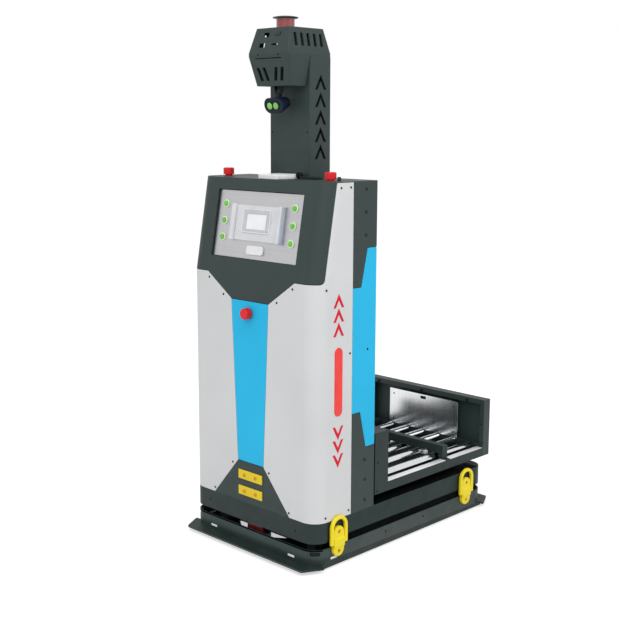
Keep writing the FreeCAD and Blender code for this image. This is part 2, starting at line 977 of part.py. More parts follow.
def panel_grip():
    x = hmi_half + grip_gap + grip_r
    low = opening_low + hmi_low - grip_overhang
    length = hmi_length + 2 * grip_overhang
    top = control_face + grip_rise + grip_r
    bar = prism(rect(x - grip_r, x + grip_r, control_face, top), [0, 0, grip_r, grip_r],
                at_y(low), V(0, length, 0))

    def end_edge(edge):
        return edge.BoundBox.YLength < 1e-4 and edge.BoundBox.ZMax > control_face + 1e-4
    return on_slope(rounded(bar, grip_round, end_edge))


def card_reader():
    v = opening_low + reader_v
    half_x = reader_width / 2
    half_v = reader_length / 2
    pad = prism(rect(reader_x - half_x, reader_x + half_x, v - half_v, v + half_v), reader_corner,
                at_z(control_face), V(0, 0, reader_height))
    top = control_face + reader_height
    pad = rounded(pad, reader_edge, edge_level(top))
    dot = cylinder(reader_dot_r, reader_dot_depth, V(reader_x + reader_dot_x, v, top - reader_dot_depth))
    return on_slope(pad.cut(dot))


def stop_collar():
    bore = stop_stem_r + run_fit
    edge = stop_collar_edge
    return turned([(bore, 0), (stop_collar_r, 0), (stop_collar_r, stop_collar_height - edge),
                   (stop_collar_r - edge, stop_collar_height), (bore, stop_collar_height)], V(0, 0, 0), up)


def stop_head():
    # Cup on a stem; at full press its rim and its ceiling still clear the plate and the collar
    low = stop_travel + stop_gap
    ceiling = low + stop_collar_height
    inside = stop_collar_r + stop_gap
    high = stop_head_height
    edge = stop_head_edge
    return turned([(0, -stop_stem_depth), (stop_stem_r, -stop_stem_depth), (stop_stem_r, ceiling),
                   (inside, ceiling), (inside, low), (stop_head_r, low), (stop_head_r, high - edge),
                   (stop_head_r - edge, high), (0, high)], V(0, 0, 0), up)


def stop_places():
    facing_front = FreeCAD.Rotation(V(1, 0, 0), 90)
    front = FreeCAD.Placement(V(0, cab_front, stop_front_z()), facing_front)
    level = FreeCAD.Rotation()
    left = FreeCAD.Placement(V(-stop_top_x, stop_top_y(), cab_top), level)
    right = FreeCAD.Placement(V(stop_top_x, stop_top_y(), cab_top), level)
    return {"front": front, "left": left, "right": right}


def placed(shape, placement):
    shape.Placement = placement.multiply(shape.Placement)
    return shape


def radio_unit():
    y0 = mast_front - radio_gap - radio_depth
    points = rect(-radio_half, radio_half, y0, y0 + radio_depth)
    case = prism(points, radio_corner, at_z(cab_top), V(0, 0, radio_height))
    top = cab_top + radio_height
    case = rounded(case, radio_edge, edge_level(top))
    ribs = []
    for i in range(radio_rib_count):
        x = radio_half - radio_corner - radio_rib_pitch * i
        ribs.append(box(x - radio_rib_width, x, y0, y0 + radio_depth, top - radio_rib_depth, top))
    return case.cut(Part.makeCompound(ribs))


def mast_column():
    points = rect(-mast_half, mast_half, mast_front, cab_back)
    outer = prism(points, mast_edge, at_z(cab_top), V(0, 0, mast_top - cab_top))
    inner_points = rect(-mast_half + sheet, mast_half - sheet, mast_front + sheet, cab_back - sheet)
    inner = prism(inner_points, mast_edge - sheet, at_z(cab_top), V(0, 0, mast_top - cab_top))
    room = mast_top - cab_top - chevron_top_drop - chevron_rise - chevron_margin
    count = int(room // chevron_pitch) + 1
    return outer.cut(inner).cut(Part.makeCompound([chevron(i) for i in range(count)]))


def chevron(i):
    # Arrow-shaped vent through both side walls
    y = (mast_front + cab_back) / 2
    tip = mast_top - chevron_top_drop - chevron_pitch * i
    foot = tip - chevron_rise
    inside = chevron_half - chevron_stroke
    points = [(y, tip), (y + chevron_half, foot), (y + inside, foot),
              (y, tip - chevron_stroke * chevron_rise / chevron_half),
              (y - inside, foot), (y - chevron_half, foot)]
    return prism(points, 0, at_x(-mast_half), V(2 * mast_half, 0, 0))


def head_solid(inset):
    # Two tapers that meet at an upright band; the lower one stops just ahead of the mast
    side = mast_half - inset
    top_side = side - head_side_taper
    front = head_front + inset
    back = cab_back - inset
    split = mast_front - head_gap - inset
    corner = head_round - inset
    whole = [corner] * 4
    nose = [corner, corner, 0, 0]

    def section(half, y0, y1, z, radii):
        return outline(rect(-half, half, y0, y1), radii, at_z(z))
    tip = front + head_front_taper
    upper = Part.makeLoft([section(side, front, back, band_top, whole).OuterWire,
                           section(top_side, tip, back - head_rear_taper, head_top - inset, whole).OuterWire],
                          True, True)
    band = section(side, front, back, mast_top, whole).extrude(V(0, 0, head_band))
    lower = Part.makeLoft([section(top_side, tip, split, head_low + inset, nose).OuterWire,
                           section(side, front, split, mast_top, nose).OuterWire], True, True)
    return joined([upper, band, lower])


def head_shell():
    outer = rounded(head_solid(0), head_edge, edge_level(head_top))
    shell = outer.cut(head_solid(sheet))
    cuts = [head_vent(i) for i in range(vent_count)]
    for top in slot_tops:
        cuts += both_sides(head_slot(top))
    port_depth = head_front_taper + 2 * sheet
    for x, lift, width, height in port_places:
        cuts.append(box(x - width / 2, x + width / 2, head_front, head_front + port_depth,
                        band_top + lift - height / 2, band_top + lift + height / 2))
    shell = shell.cut(Part.makeCompound(cuts))
    return joined([shell] + both_sides(camera_ear()))


def head_vent(i):
    y = head_front + vent_front + vent_pitch * i
    high = head_top - vent_drop
    return box(-mast_half, mast_half, y - vent_width / 2, y + vent_width / 2, high - vent_height, high)


def head_slot(top):
    low = head_low + slot_lift
    high = low + slot_rise
    half = slot_width / 2
    foot = top - slot_lean
    points = [(foot - half, low), (foot + half, low), (top + half, high), (top - half, high)]
    return prism(points, 0, at_y(head_front), V(0, head_reach - 2 * sheet, 0))


def pivot_place():
    y = head_front + head_front_taper + camera_setback
    return y, head_low - pivot_drop


def camera_ear():
    # Hanger plate under the head, wide at the head and narrow at the pivot
    y, z = pivot_place()
    points = [(y - ear_foot, head_low + sheet), (y - ear_reach, z - ear_reach),
              (y + ear_reach, z - ear_reach), (y + ear_foot, head_low + sheet)]
    ear = prism(points, [0, ear_round(), ear_round(), 0], at_x(ear_half), V(ear_wall, 0, 0))
    return ear.cut(cylinder(pivot_r + run_fit, ear_wall, V(ear_half, y, z), V(1, 0, 0)))


def ear_round():
    return ear_reach - ear_wall


def camera_section(half, rim, y):
    return outline(rect(-half, half, -rim, rim), rim, at_y(y))


def twin_camera():
    y, z = pivot_place()
    half = camera_length / 2
    face = camera_section(camera_half, camera_half_height, -half)
    back = camera_section(camera_back_half, camera_back_height, half)
    body = Part.makeLoft([face.OuterWire, back.OuterWire], True, True)
    body = rounded(body, camera_edge, camera_rim(half))
    pockets = []
    lenses = []
    for x in (-lens_x, lens_x):
        pockets.append(cylinder(lens_r + lens_rim, lens_pocket, V(x, -half, 0), V(0, 1, 0)))
        lenses.append(cylinder(lens_r, lens_pocket + lens_rise, V(x, lens_pocket - half, 0), V(0, -1, 0)))
    body = joined([body.cut(Part.makeCompound(pockets))] + lenses)
    body.rotate(V(0, 0, 0), V(1, 0, 0), camera_tilt)
    body.translate(V(0, y, head_low - camera_hang))
    inner = ear_half - lug_side_gap
    foot = head_low - camera_hang
    lug = prism([(y - lug_radius, foot), (y + lug_radius, foot), (y + lug_radius, z + lug_radius),
                 (y - lug_radius, z + lug_radius)],
                [0, 0, lug_radius, lug_radius], at_x(-inner), V(2 * inner, 0, 0))
    reach = ear_half + ear_wall
    pin = cylinder(pivot_r, 2 * reach, V(-reach, y, z), V(1, 0, 0))
    return joined([body, lug, pin])


def camera_rim(half):
    def picked(edge):
        at_end = abs(abs(edge.BoundBox.Center.y) - half) < 1e-4
        return at_end and edge.BoundBox.YLength < 1e-4
    return picked


def nav_y():
    return head_front + nav_setback


def nav_window():
    inner = nav_window_r - nav_wall
    high = nav_window_height
    profile = [(inner, 0), (nav_window_r, 0), (nav_window_r, high), (0, high), (0, high - nav_wall),
               (inner, high - nav_wall)]
    return turned(profile, V(0, nav_y(), head_top), up)


def nav_cap():
    # Disc with a domed top, chamfered underneath
    base = V(0, nav_y(), head_top + nav_window_height)
    ball_r = (nav_cap_r ** 2 + nav_dome ** 2) / (2 * nav_dome)
    ball = Part.makeSphere(ball_r, base + up * (nav_cap_height - ball_r))
    disc = cylinder(nav_cap_r, nav_cap_height, base)
    disc = disc.makeChamfer(nav_cap_edge, [edge for edge in disc.Edges if edge_level(base.z)(edge)])
    return disc.common(ball)


def roller_xs():
    middle = (roller_count - 1) / 2
    return [(i - middle) * roller_pitch for i in range(roller_count)]


def conveyor_frame():
    floor = box(-deck_half, deck_half, housing_back, wall_front, deck_z, deck_z + sheet)
    inner = deck_half - beam_width
    beam = [(deck_half, deck_z), (deck_half, beam_top), (inner, beam_top), (inner, beam_top - sheet),
            (deck_half - sheet, beam_top - sheet), (deck_half - sheet, deck_z)]
    side = prism(beam, 0, at_y(housing_back), V(0, wall_front - housing_back, 0))
    housing = box(-deck_half, deck_half, deck_front, housing_back, deck_z, wall_top)
    hollow = box(-deck_half + sheet, deck_half - sheet, deck_front + sheet, housing_back - bearing_plate,
                 deck_z + sheet, wall_top - sheet)
    bearing = box(-deck_half, deck_half, wall_front - bearing_plate, wall_front,
                  deck_z, deck_z + bearing_height)
    half = runner_width / 2
    runner = box(runner_x - half, runner_x + half, deck_front + runner_inset, body_y - body_corner,
                 base_z, deck_z)
    frame = joined([floor, housing.cut(hollow), bearing] + both_sides(side) + both_sides(runner))
    bores = [cylinder(shaft_r + run_fit, wall_front - housing_back + 2 * bearing_plate,
                      V(x, housing_back - bearing_plate, roller_z), V(0, 1, 0)) for x in roller_xs()]
    return frame.cut(Part.makeCompound(bores))


def roller(x):
    y0 = housing_back + roller_end_gap
    y1 = wall_front - bearing_plate - roller_end_gap
    start = housing_back - bearing_plate - shaft_reach
    end = wall_front + shaft_reach
    edge = roller_edge
    inside = roller_r - roller_wall
    deep = roller_recess
    profile = [(0, start), (shaft_r, start), (shaft_r, y0 + deep), (inside, y0 + deep), (inside, y0),
               (roller_r - edge, y0), (roller_r, y0 + edge), (roller_r, y1 - edge), (roller_r - edge, y1),
               (inside, y1), (inside, y1 - deep), (shaft_r, y1 - deep), (shaft_r, end), (0, end)]
    return turned(profile, V(x, 0, roller_z), V(0, 1, 0))


def rear_wall():
    outer = box(-deck_half, deck_half, wall_front, half_length, deck_z, wall_top)
    inner = box(-deck_half + sheet, deck_half - sheet, wall_front + sheet, half_length - sheet,
                deck_z + sheet, wall_top - sheet)
    open_half = deck_half - wall_return
    mouth = box(-open_half, open_half, wall_front, wall_front + sheet,
                deck_z + bearing_height, wall_top - wall_return)
    shaft_clear = [cylinder(shaft_r + slide_gap, sheet, V(x, wall_front, roller_z), V(0, 1, 0))
                   for x in roller_xs()]
    pan = outer.cut(Part.makeCompound([inner, mouth] + shaft_clear))
    reach = half_length - wall_front + liner_stand
    studs = [cylinder(standoff_r, reach, V(x, wall_front - liner_stand, z), V(0, 1, 0))
             for x in (-liner_half + standoff_inset, liner_half - standoff_inset)
             for z in (liner_low() + standoff_inset, liner_low() + liner_height - standoff_inset)]
    return joined([pan] + studs)


def liner_low():
    return deck_z + liner_lift


def polished_plate():
    low = liner_low()
    high = low + liner_height
    y1 = wall_front - liner_stand
    face = box(-liner_half, liner_half, y1 - liner_thickness, y1, low, high)
    half = liner_window_width / 2
    top = high - liner_window_drop
    return face.cut(box(-half, half, y1 - liner_thickness, y1, top - liner_window_height, top))


def lane_divider():
    y1 = wall_front - divider_setback + divider_width / 2
    y0 = y1 - divider_width
    reach = deck_half - divider_inset
    low = roller_top + divider_gap
    high = low + divider_height
    points = rect(y0, y1, low, high)
    bar = prism(points, [0, 0, divider_edge, divider_edge], at_x(-reach), V(2 * reach, 0, 0))
    hollow = prism(rect(y0 + sheet, y1 - sheet, low, high - sheet), 0, at_x(-reach + sheet),
                   V(2 * (reach - sheet), 0, 0))
    foot = box(reach - foot_length, reach, y0, y1, beam_top, low + sheet)
    return joined([bar.cut(hollow)] + both_sides(foot))


def charge_contact(i):
    low = base_z + contact_low + contact_pitch * i
    points = rect(-contact_half, contact_half, low, low + contact_height)
    face = cab_front - contact_thickness
    bar = prism(points, contact_edge, at_y(face), V(0, contact_thickness, 0))
    return rounded(bar, contact_edge, lambda edge: abs(edge.BoundBox.YMax - face) < 1e-4)


def lug_base(y):
    # Stadium plate with a raised band round the ring's pivot, and a screw seat above and below it
    points = rect(y - lug_half, y + lug_half, lug_low, lug_low + lug_height)
    face = body_x + lug_thickness
    pad = rounded(prism(points, lug_half, at_x(body_x), V(lug_thickness, 0, 0)), lug_edge,
                  lambda edge: abs(edge.BoundBox.XMin - face) < 1e-4)
    crown = face + lug_band_rise
    axis = ring_axis_z()
    band = box(body_x, crown, y - lug_half, y + lug_half, axis - lug_band_half, axis + lug_band_half)
    band = rounded(band, lug_edge, lambda edge: abs(edge.BoundBox.XMin - crown) < 1e-4)
    cuts = [cylinder(lug_screw_r, lug_screw_depth, V(face, y, z), V(-1, 0, 0))
            for z in (lug_low + lug_screw_inset, lug_low + lug_height - lug_screw_inset)]
    start = V(ring_axis_x(), y - lug_half, axis)
    cuts.append(cylinder(ring_pin_r + run_fit, 2 * lug_half, start, V(0, 1, 0)))
    return joined([pad, band]).cut(Part.makeCompound(cuts))


def ring_axis_x():
    return body_x + ring_axis_out


def ring_axis_z():
    return lug_low + ring_axis_lift


def lift_ring(y):
    inner = lug_half + ring_side_gap
    outer = inner + ring_bar
    eye = ring_depth / 2
    x0 = ring_axis_x() - eye
    low = ring_axis_z() - eye
    reach = V(ring_depth, 0, 0)
    outside = prism(rect(y - outer, y + outer, low, ring_top), [0, 0, outer, outer], at_x(x0), reach)
    inside = prism(rect(y - inner, y + inner, low, ring_top - ring_bar), [0, 0, inner, inner],
                   at_x(x0), reach)
    round_ends = prism(rect(x0, x0 + ring_depth, low, ring_top), [eye, eye, 0, 0],
                       at_y(y - outer), V(0, 2 * outer, 0))
    bail = outside.cut(inside).common(round_ends)
    bail = rounded(bail, ring_round, lambda edge: edge.BoundBox.XLength < 1e-4)
    pins = []
    for side in (-1, 1):
        start = V(ring_axis_x(), y + side * (inner + ring_bar / 2), ring_axis_z())
        length = ring_bar / 2 + ring_side_gap + ring_pin_length
        pins.append(cylinder(ring_pin_r, length, start, V(0, -side, 0)))
    return joined([bail] + pins)


def build():
    skin = cabinet_skin()
    left_clad, right_clad = cladding(skin)
    nodes = {
        "lower_chassis": lower_chassis(),
        "support_frame": support_frame(),
        "upper_chassis": upper_chassis(),
        "safety_scanner": safety_scanner(),
        "drive_motors": Part.makeCompound(both_sides(drive_motor())),
        "battery_pack": battery_pack(),
        "drive_controller": drive_controller(),
        "cabinet_carcass": cabinet_carcass(skin),
        "lower_front_cover": lower_front_cover(),
        "front_stripe": front_stripe(),
        "cladding_left": left_clad,
        "cladding_right": right_clad,
        "control_hood": control_hood(skin),
        "blue_panels": Part.makeCompound(both_sides(blue_panel())),
        "light_bars": Part.makeCompound(both_sides(light_bar())),
        "control_plate": control_plate(),
        "hmi_housing": hmi_housing(),
        "hmi_screen": hmi_screen(),
        "panel_grips": Part.makeCompound(both_sides(panel_grip())),
        "card_reader": card_reader(),
        "button_rings": Part.makeCompound([button_ring(place) for place in button_places()]),
        "stop_collars": Part.makeCompound([placed(stop_collar(), spot) for spot in stop_places().values()]),
        "mast_column": mast_column(),
        "head_shell": head_shell(),
        "nav_window": nav_window(),
        "nav_cap": nav_cap(),
        "radio_unit": radio_unit(),
        "conveyor_frame": conveyor_frame(),
        "rear_wall": rear_wall(),
        "polished_plate": polished_plate(),
        "lane_divider": lane_divider(),
        "charge_contacts": Part.makeCompound([charge_contact(i) for i in range(2)]),
        "twin_camera": twin_camera(),
    }
    bases = []
    for end, y in (("front", lug_front_y), ("rear", lug_rear_y)):
        bases += both_sides(lug_base(y))
        nodes["lift_ring_" + end + "_right"] = lift_ring(y)
        nodes["lift_ring_" + end + "_left"] = mirrored(lift_ring(y))
    nodes["lug_bases"] = Part.makeCompound(bases)
    for name, shape in (("drive_wheel", drive_wheel()), ("caster_fork", caster_fork()),
                        ("caster_wheel", caster_wheel())):
        nodes[name + "_right"] = shape
        nodes[name + "_left"] = mirrored(shape)
    for i, place in enumerate(button_places()):
        nodes["push_button_%d" % (i + 1)] = push_button(place)
    for name, spot in stop_places().items():
        nodes["emergency_stop_" + name] = placed(stop_head(), spot)
    for i, x in enumerate(roller_xs()):
        nodes["roller_%d" % (i + 1)] = roller(x)
    return nodes


os.makedirs("parts", exist_ok=True)
for node, shape in build().items():
    shape.exportStep("parts/" + node + ".step")
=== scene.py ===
import bpy
import bmesh
import json
import math
from mathutils import Matrix, Vector


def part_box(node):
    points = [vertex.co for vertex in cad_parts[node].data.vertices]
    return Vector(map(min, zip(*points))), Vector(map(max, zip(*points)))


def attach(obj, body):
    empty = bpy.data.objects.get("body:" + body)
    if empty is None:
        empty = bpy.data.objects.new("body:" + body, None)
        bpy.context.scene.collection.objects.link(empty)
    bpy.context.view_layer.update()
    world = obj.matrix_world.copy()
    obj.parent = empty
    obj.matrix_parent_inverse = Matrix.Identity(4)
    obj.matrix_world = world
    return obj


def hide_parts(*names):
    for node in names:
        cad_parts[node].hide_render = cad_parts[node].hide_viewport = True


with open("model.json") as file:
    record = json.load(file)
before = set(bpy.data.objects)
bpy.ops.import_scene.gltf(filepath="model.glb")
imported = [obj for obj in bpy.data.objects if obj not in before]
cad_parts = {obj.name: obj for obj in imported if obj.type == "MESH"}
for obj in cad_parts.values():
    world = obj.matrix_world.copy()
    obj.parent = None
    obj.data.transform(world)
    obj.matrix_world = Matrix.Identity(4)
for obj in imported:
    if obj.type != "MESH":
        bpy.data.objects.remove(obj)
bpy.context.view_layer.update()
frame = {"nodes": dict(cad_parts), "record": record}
slotOf = {part["node"]: part["material_slot"] for part in frame["record"]["subparts"]}
bodyOf = {node: body for body, nodes in frame["record"]["behaviour"]["bodies"].items() for node in nodes}
base = "vehicle"
print("frame loaded:", len(slotOf), "nodes")


def toLinear(red, green, blue):
    # screen colour from 0 to 255, turned into the linear colour that shaders take
    def curve(value):
        value = value / 255
        return value / 12.92 if value <= 0.04045 else ((value + 0.055) / 1.055) ** 2.4
    return (curve(red), curve(green), curve(blue), 1.0)


# Shader tools

noiseSpan = {"low": 0.3, "high": 0.7}  # most values of a noise texture lie in here
mixSockets = {"amount": 0, "first": 6, "second": 7, "result": 2}  # the colour sockets of a mix node


def startFinish(name, look):
    finish = bpy.data.materials.new(name)
    finish.use_nodes = True
    shader = finish.node_tree.nodes["Principled BSDF"]
    for socket, value in look.items():
        shader.inputs[socket].default_value = value
    return finish, finish.node_tree, shader


def place(tree, stretch):
    spot = tree.nodes.new("ShaderNodeTexCoord")
    turn = tree.nodes.new("ShaderNodeMapping")
    turn.inputs["Scale"].default_value = stretch
    tree.links.new(spot.outputs["Object"], turn.inputs["Vector"])
    return turn.outputs["Vector"]


def cloud(tree, scale, stretch=(1, 1, 1), detail=3.0):
    noise = tree.nodes.new("ShaderNodeTexNoise")
    noise.inputs["Scale"].default_value = scale
    noise.inputs["Detail"].default_value = detail
    tree.links.new(place(tree, stretch), noise.inputs["Vector"])
    return noise.outputs["Fac"]


def between(tree, value, fromLow, fromHigh, low, high):
    ramp = tree.nodes.new("ShaderNodeMapRange")
    for socket, number in (("From Min", fromLow), ("From Max", fromHigh), ("To Min", low), ("To Max", high)):
        ramp.inputs[socket].default_value = number
    tree.links.new(value, ramp.inputs["Value"])
    return ramp.outputs["Result"]


def spread(tree, noise, low=0.0, high=1.0):
    return between(tree, noise, noiseSpan["low"], noiseSpan["high"], low, high)


def blendColours(tree, amount, first, second):
    mix = tree.nodes.new("ShaderNodeMix")
    mix.data_type = "RGBA"
    tree.links.new(amount, mix.inputs[mixSockets["amount"]])
    for name, colour in (("first", first), ("second", second)):
        socket = mix.inputs[mixSockets[name]]
        if isinstance(colour, tuple):
            socket.default_value = colour
        else:
            tree.links.new(colour, socket)
    return mix.outputs[mixSockets["result"]]


def combine(tree, operation, first, second):
    node = tree.nodes.new("ShaderNodeMath")
    node.operation = operation
    tree.links.new(first, node.inputs[0])
    tree.links.new(second, node.inputs[1])
    return node.outputs[0]


def roughen(tree, shader, height, distance, strength):
    bump = tree.nodes.new("ShaderNodeBump")
    bump.inputs["Strength"].default_value = strength
    bump.inputs["Distance"].default_value = distance
    tree.links.new(height, bump.inputs["Height"])
    tree.links.new(bump.outputs["Normal"], shader.inputs["Normal"])


def wire(tree, shader, tone, rough):
    tree.links.new(tone, shader.inputs["Base Color"])
    tree.links.new(rough, shader.inputs["Roughness"])


def shade(colour, factor):
    return tuple(min(1.0, channel * factor) for channel in colour[:3]) + (1.0,)


def drift(tree, amount, colour, look):
    return blendColours(tree, amount, shade(colour, look["darker"]), shade(colour, look["lighter"]))


def varyRough(tree, rough, look):
    return spread(tree, cloud(tree, look["roughCloud"]), rough * look["smoothest"], rough * look["roughest"])


def addGrain(tree, shader, look, stretch=(1, 1, 1)):
    grain = cloud(tree, look["grain"], stretch, look["detail"])
    roughen(tree, shader, grain, look["depth"], look["strength"])


# scale of each cloud of wear, dust and edge highlight, the span of it that counts, and the least that shows
wear = {"fine": (60.0, 0.38, 0.62, 0.15), "coarse": (14.0, 0.3, 0.6, 0.5), "dust": (9.0, 0.35, 0.7, 0.1),
        "scuff": (45.0, 0.4, 0.65, 0.0), "smudge": (11.0, 0.45, 0.75, 0.0)}


def patches(tree, kind, most=1.0):
    scale, start, end, least = wear[kind]
    return between(tree, cloud(tree, scale), start, end, least, most)


def edgeWearAndHighlight(tree):
    # dressed pieces mark their bevelled faces, and two clouds break up the marks; the lighter edges are
    # partly wear and partly painted highlight
    mark = tree.nodes.new("ShaderNodeAttribute")
    mark.attribute_name = "edgeMark"
    broken = combine(tree, "MULTIPLY", patches(tree, "fine"), patches(tree, "coarse"))
    return combine(tree, "MULTIPLY", mark.outputs["Fac"], broken)


def heightOf(tree):
    parts = tree.nodes.new("ShaderNodeSeparateXYZ")
    tree.links.new(place(tree, (1, 1, 1)), parts.inputs[0])
    return parts.outputs["Z"]


def floorDust(tree, height, most):
    # strongest at the floor and gone at the given height
    low = between(tree, heightOf(tree), 0.0, height, 1.0, 0.0)
    return between(tree, combine(tree, "MULTIPLY", low, patches(tree, "dust")), 0.0, 1.0, 0.0, most)


# Finishes

paintLook = {"mottle": 3.2, "darker": 0.955, "lighter": 1.035, "roughCloud": 26.0, "roughSpan": 0.06,
             "grain": 900.0, "detail": 2.0, "depth": 0.00012, "strength": 0.25, "dustHeight": 0.16,
             "dustTone": toLinear(150, 148, 142)}


def paint(name, colour, rough, sheen, edge, dust=0.0, foot=None):
    # powder coat, with edges lighter as wear and painted highlight and, where asked, dust near the floor and
    # a foot darkened as painted shade
    finish, tree, shader = startFinish(name, {"Specular IOR Level": sheen})
    tone = drift(tree, spread(tree, cloud(tree, paintLook["mottle"])), colour, paintLook)
    tone = blendColours(tree, edgeWearAndHighlight(tree), tone, edge)
    if foot:
        above = between(tree, heightOf(tree), foot["low"], foot["high"], 0.0, 1.0)
        tone = blendColours(tree, above, foot["tone"], tone)
    if dust:
        settled = floorDust(tree, paintLook["dustHeight"], dust)
        tone = blendColours(tree, settled, tone, paintLook["dustTone"])
    gloss = spread(tree, cloud(tree, paintLook["roughCloud"]), rough - paintLook["roughSpan"],
                   rough + paintLook["roughSpan"])
    wire(tree, shader, tone, gloss)
    addGrain(tree, shader, paintLook)
    return finish


plasticLook = {"mottle": 18.0, "darker": 0.93, "lighter": 1.04, "roughCloud": 70.0, "smoothest": 0.85,
               "roughest": 1.2, "grain": 650.0, "detail": 2.0, "depth": 0.00006, "strength": 0.3,
               "coatRough": 0.08}


def plastic(name, colour, rough, coat=0.0, sheen=0.45):
    finish, tree, shader = startFinish(name, {"Specular IOR Level": sheen, "Coat Weight": coat,
                                              "Coat Roughness": plasticLook["coatRough"]})
    tone = drift(tree, spread(tree, cloud(tree, plasticLook["mottle"])), colour, plasticLook)
    wire(tree, shader, tone, varyRough(tree, rough, plasticLook))
    addGrain(tree, shader, plasticLook)
    return finish


metalLook = {"darker": 0.9, "lighter": 1.06, "smudgeShare": 0.25, "smudgeTone": 0.82, "markStrength": 0.3}


def metal(name, colour, rough, stretch, marks=0.06, depth=0.00004):
    # stretch draws the cloud out along the brushing or turning marks
    finish, tree, shader = startFinish(name, {"Metallic": 1.0})
    lines = cloud(tree, 1.0, stretch, detail=4.0)
    tone = drift(tree, spread(tree, lines), colour, metalLook)
    smudge = patches(tree, "smudge", metalLook["smudgeShare"])
    tone = blendColours(tree, smudge, tone, shade(colour, metalLook["smudgeTone"]))
    wire(tree, shader, tone, spread(tree, lines, rough - marks, rough + marks))
    roughen(tree, shader, lines, depth, metalLook["markStrength"])
    return finish


lensLook = {"sheen": 0.5, "coatRough": 0.05, "drift": 16.0, "roughCloud": 45.0, "smoothest": 0.8,
            "roughest": 1.3, "grain": 220.0, "stretch": (1, 1, 4), "detail": 3.0, "depth": 0.00005,
            "strength": 0.2}


def lens(name, deep, bright, rough, coat):
    # moulded window: a coated face whose tone drifts slowly
    finish, tree, shader = startFinish(name, {"Specular IOR Level": lensLook["sheen"], "Coat Weight": coat,
                                              "Coat Roughness": lensLook["coatRough"]})
    tone = blendColours(tree, spread(tree, cloud(tree, lensLook["drift"])), deep, bright)
    wire(tree, shader, tone, varyRough(tree, rough, lensLook))
    addGrain(tree, shader, lensLook, lensLook["stretch"])
    return finish


rubberLook = {"sheen": 0.3, "scuffTone": 2.1, "smoothest": 0.72, "roughest": 0.9,
              "dustHeight": 0.09, "dust": 0.35, "dustTone": toLinear(118, 112, 104), "grain": 380.0,
              "detail": 3.0, "depth": 0.0002, "strength": 0.35}


def rubber(name, colour):
    finish, tree, shader = startFinish(name, {"Specular IOR Level": rubberLook["sheen"]})
    scuff = patches(tree, "scuff")
    tone = blendColours(tree, scuff, colour, shade(colour, rubberLook["scuffTone"]))
    dusty = floorDust(tree, rubberLook["dustHeight"], rubberLook["dust"])
    tone = blendColours(tree, dusty, tone, rubberLook["dustTone"])
    wire(tree, shader, tone, between(tree, scuff, 0.0, 1.0, rubberLook["smoothest"], rubberLook["roughest"]))
    addGrain(tree, shader, rubberLook)
    return finish


tones = {"darkEdge": toLinear(76, 90, 88), "deck": toLinear(37, 50, 49), "skirtFoot": toLinear(24, 42, 39),
         "blue": toLinear(38, 188, 236), "yellow": toLinear(244, 222, 20), "contact": toLinear(234, 204, 26)}

# one finish for each material slot of the frame
finishes = {
    "dark_paint": paint("charcoalCoat", toLinear(47, 60, 59), 0.52, 0.3, tones["darkEdge"], 0.12),
    "pale_paint": paint("greyCoat", toLinear(214, 215, 216), 0.42, 0.35, toLinear(230, 231, 231)),
    "blue_paint": paint("blueCoat", tones["blue"], 0.46, 0.2, shade(tones["blue"], 1.2)),
    "red_lens": lens("redDiffuser", toLinear(240, 44, 40), toLinear(248, 58, 50), 0.4, 0.05),
    "panel_steel": metal("panelSteel", toLinear(196, 196, 199), 0.36, (3, 700, 700), 0.08),
    "silver_plastic": plastic("silverCase", toLinear(213, 214, 218), 0.34),
    "screen_glass": lens("displayGlass", toLinear(230, 233, 236), toLinear(241, 243, 245), 0.14, 0.5),
    "ring_plastic": plastic("paleBezel", toLinear(216, 238, 196), 0.28, coat=0.2),
    "black_plastic": plastic("blackCase", toLinear(28, 32, 32), 0.45),
    "stop_red": plastic("stopRed", toLinear(222, 12, 24), 0.42),
    "scanner_window": lens("scannerWindow", toLinear(132, 44, 46), toLinear(158, 66, 66), 0.25, 0.4),
    "white_plastic": plastic("whiteCase", toLinear(240, 241, 241), 0.4),
    "camera_plastic": plastic("cameraCase", toLinear(12, 24, 42), 0.5, sheen=0.2),
    "contact_brass": paint("contactPlate", tones["contact"], 0.36, 0.35, shade(tones["contact"], 1.15)),
    "yellow_paint": paint("liftingYellow", tones["yellow"], 0.36, 0.4, shade(tones["yellow"], 1.12)),
    "tyre_rubber": rubber("tyreRubber", toLinear(44, 45, 46)),
    "zinc_steel": metal("chromeSteel", toLinear(220, 222, 225), 0.13, (6, 500, 6), 0.04),
    "mirror_steel": metal("polishedSteel", toLinear(226, 228, 230), 0.22, (260, 1, 2), 0.02, 0.00001),
    "cast_alloy": metal("castAlloy", toLinear(160, 163, 165), 0.5, (120, 120, 120), 0.1, 0.0002),
    "button_green": lens("buttonGreen", toLinear(92, 180, 48), toLinear(116, 198, 72), 0.25, 0.3),
}
# painted shade: the skirt's front and rear darken towards the foot, where the bumper ledge shades them
skirtFoot = {"low": 0.036, "high": 0.052, "tone": tones["skirtFoot"]}
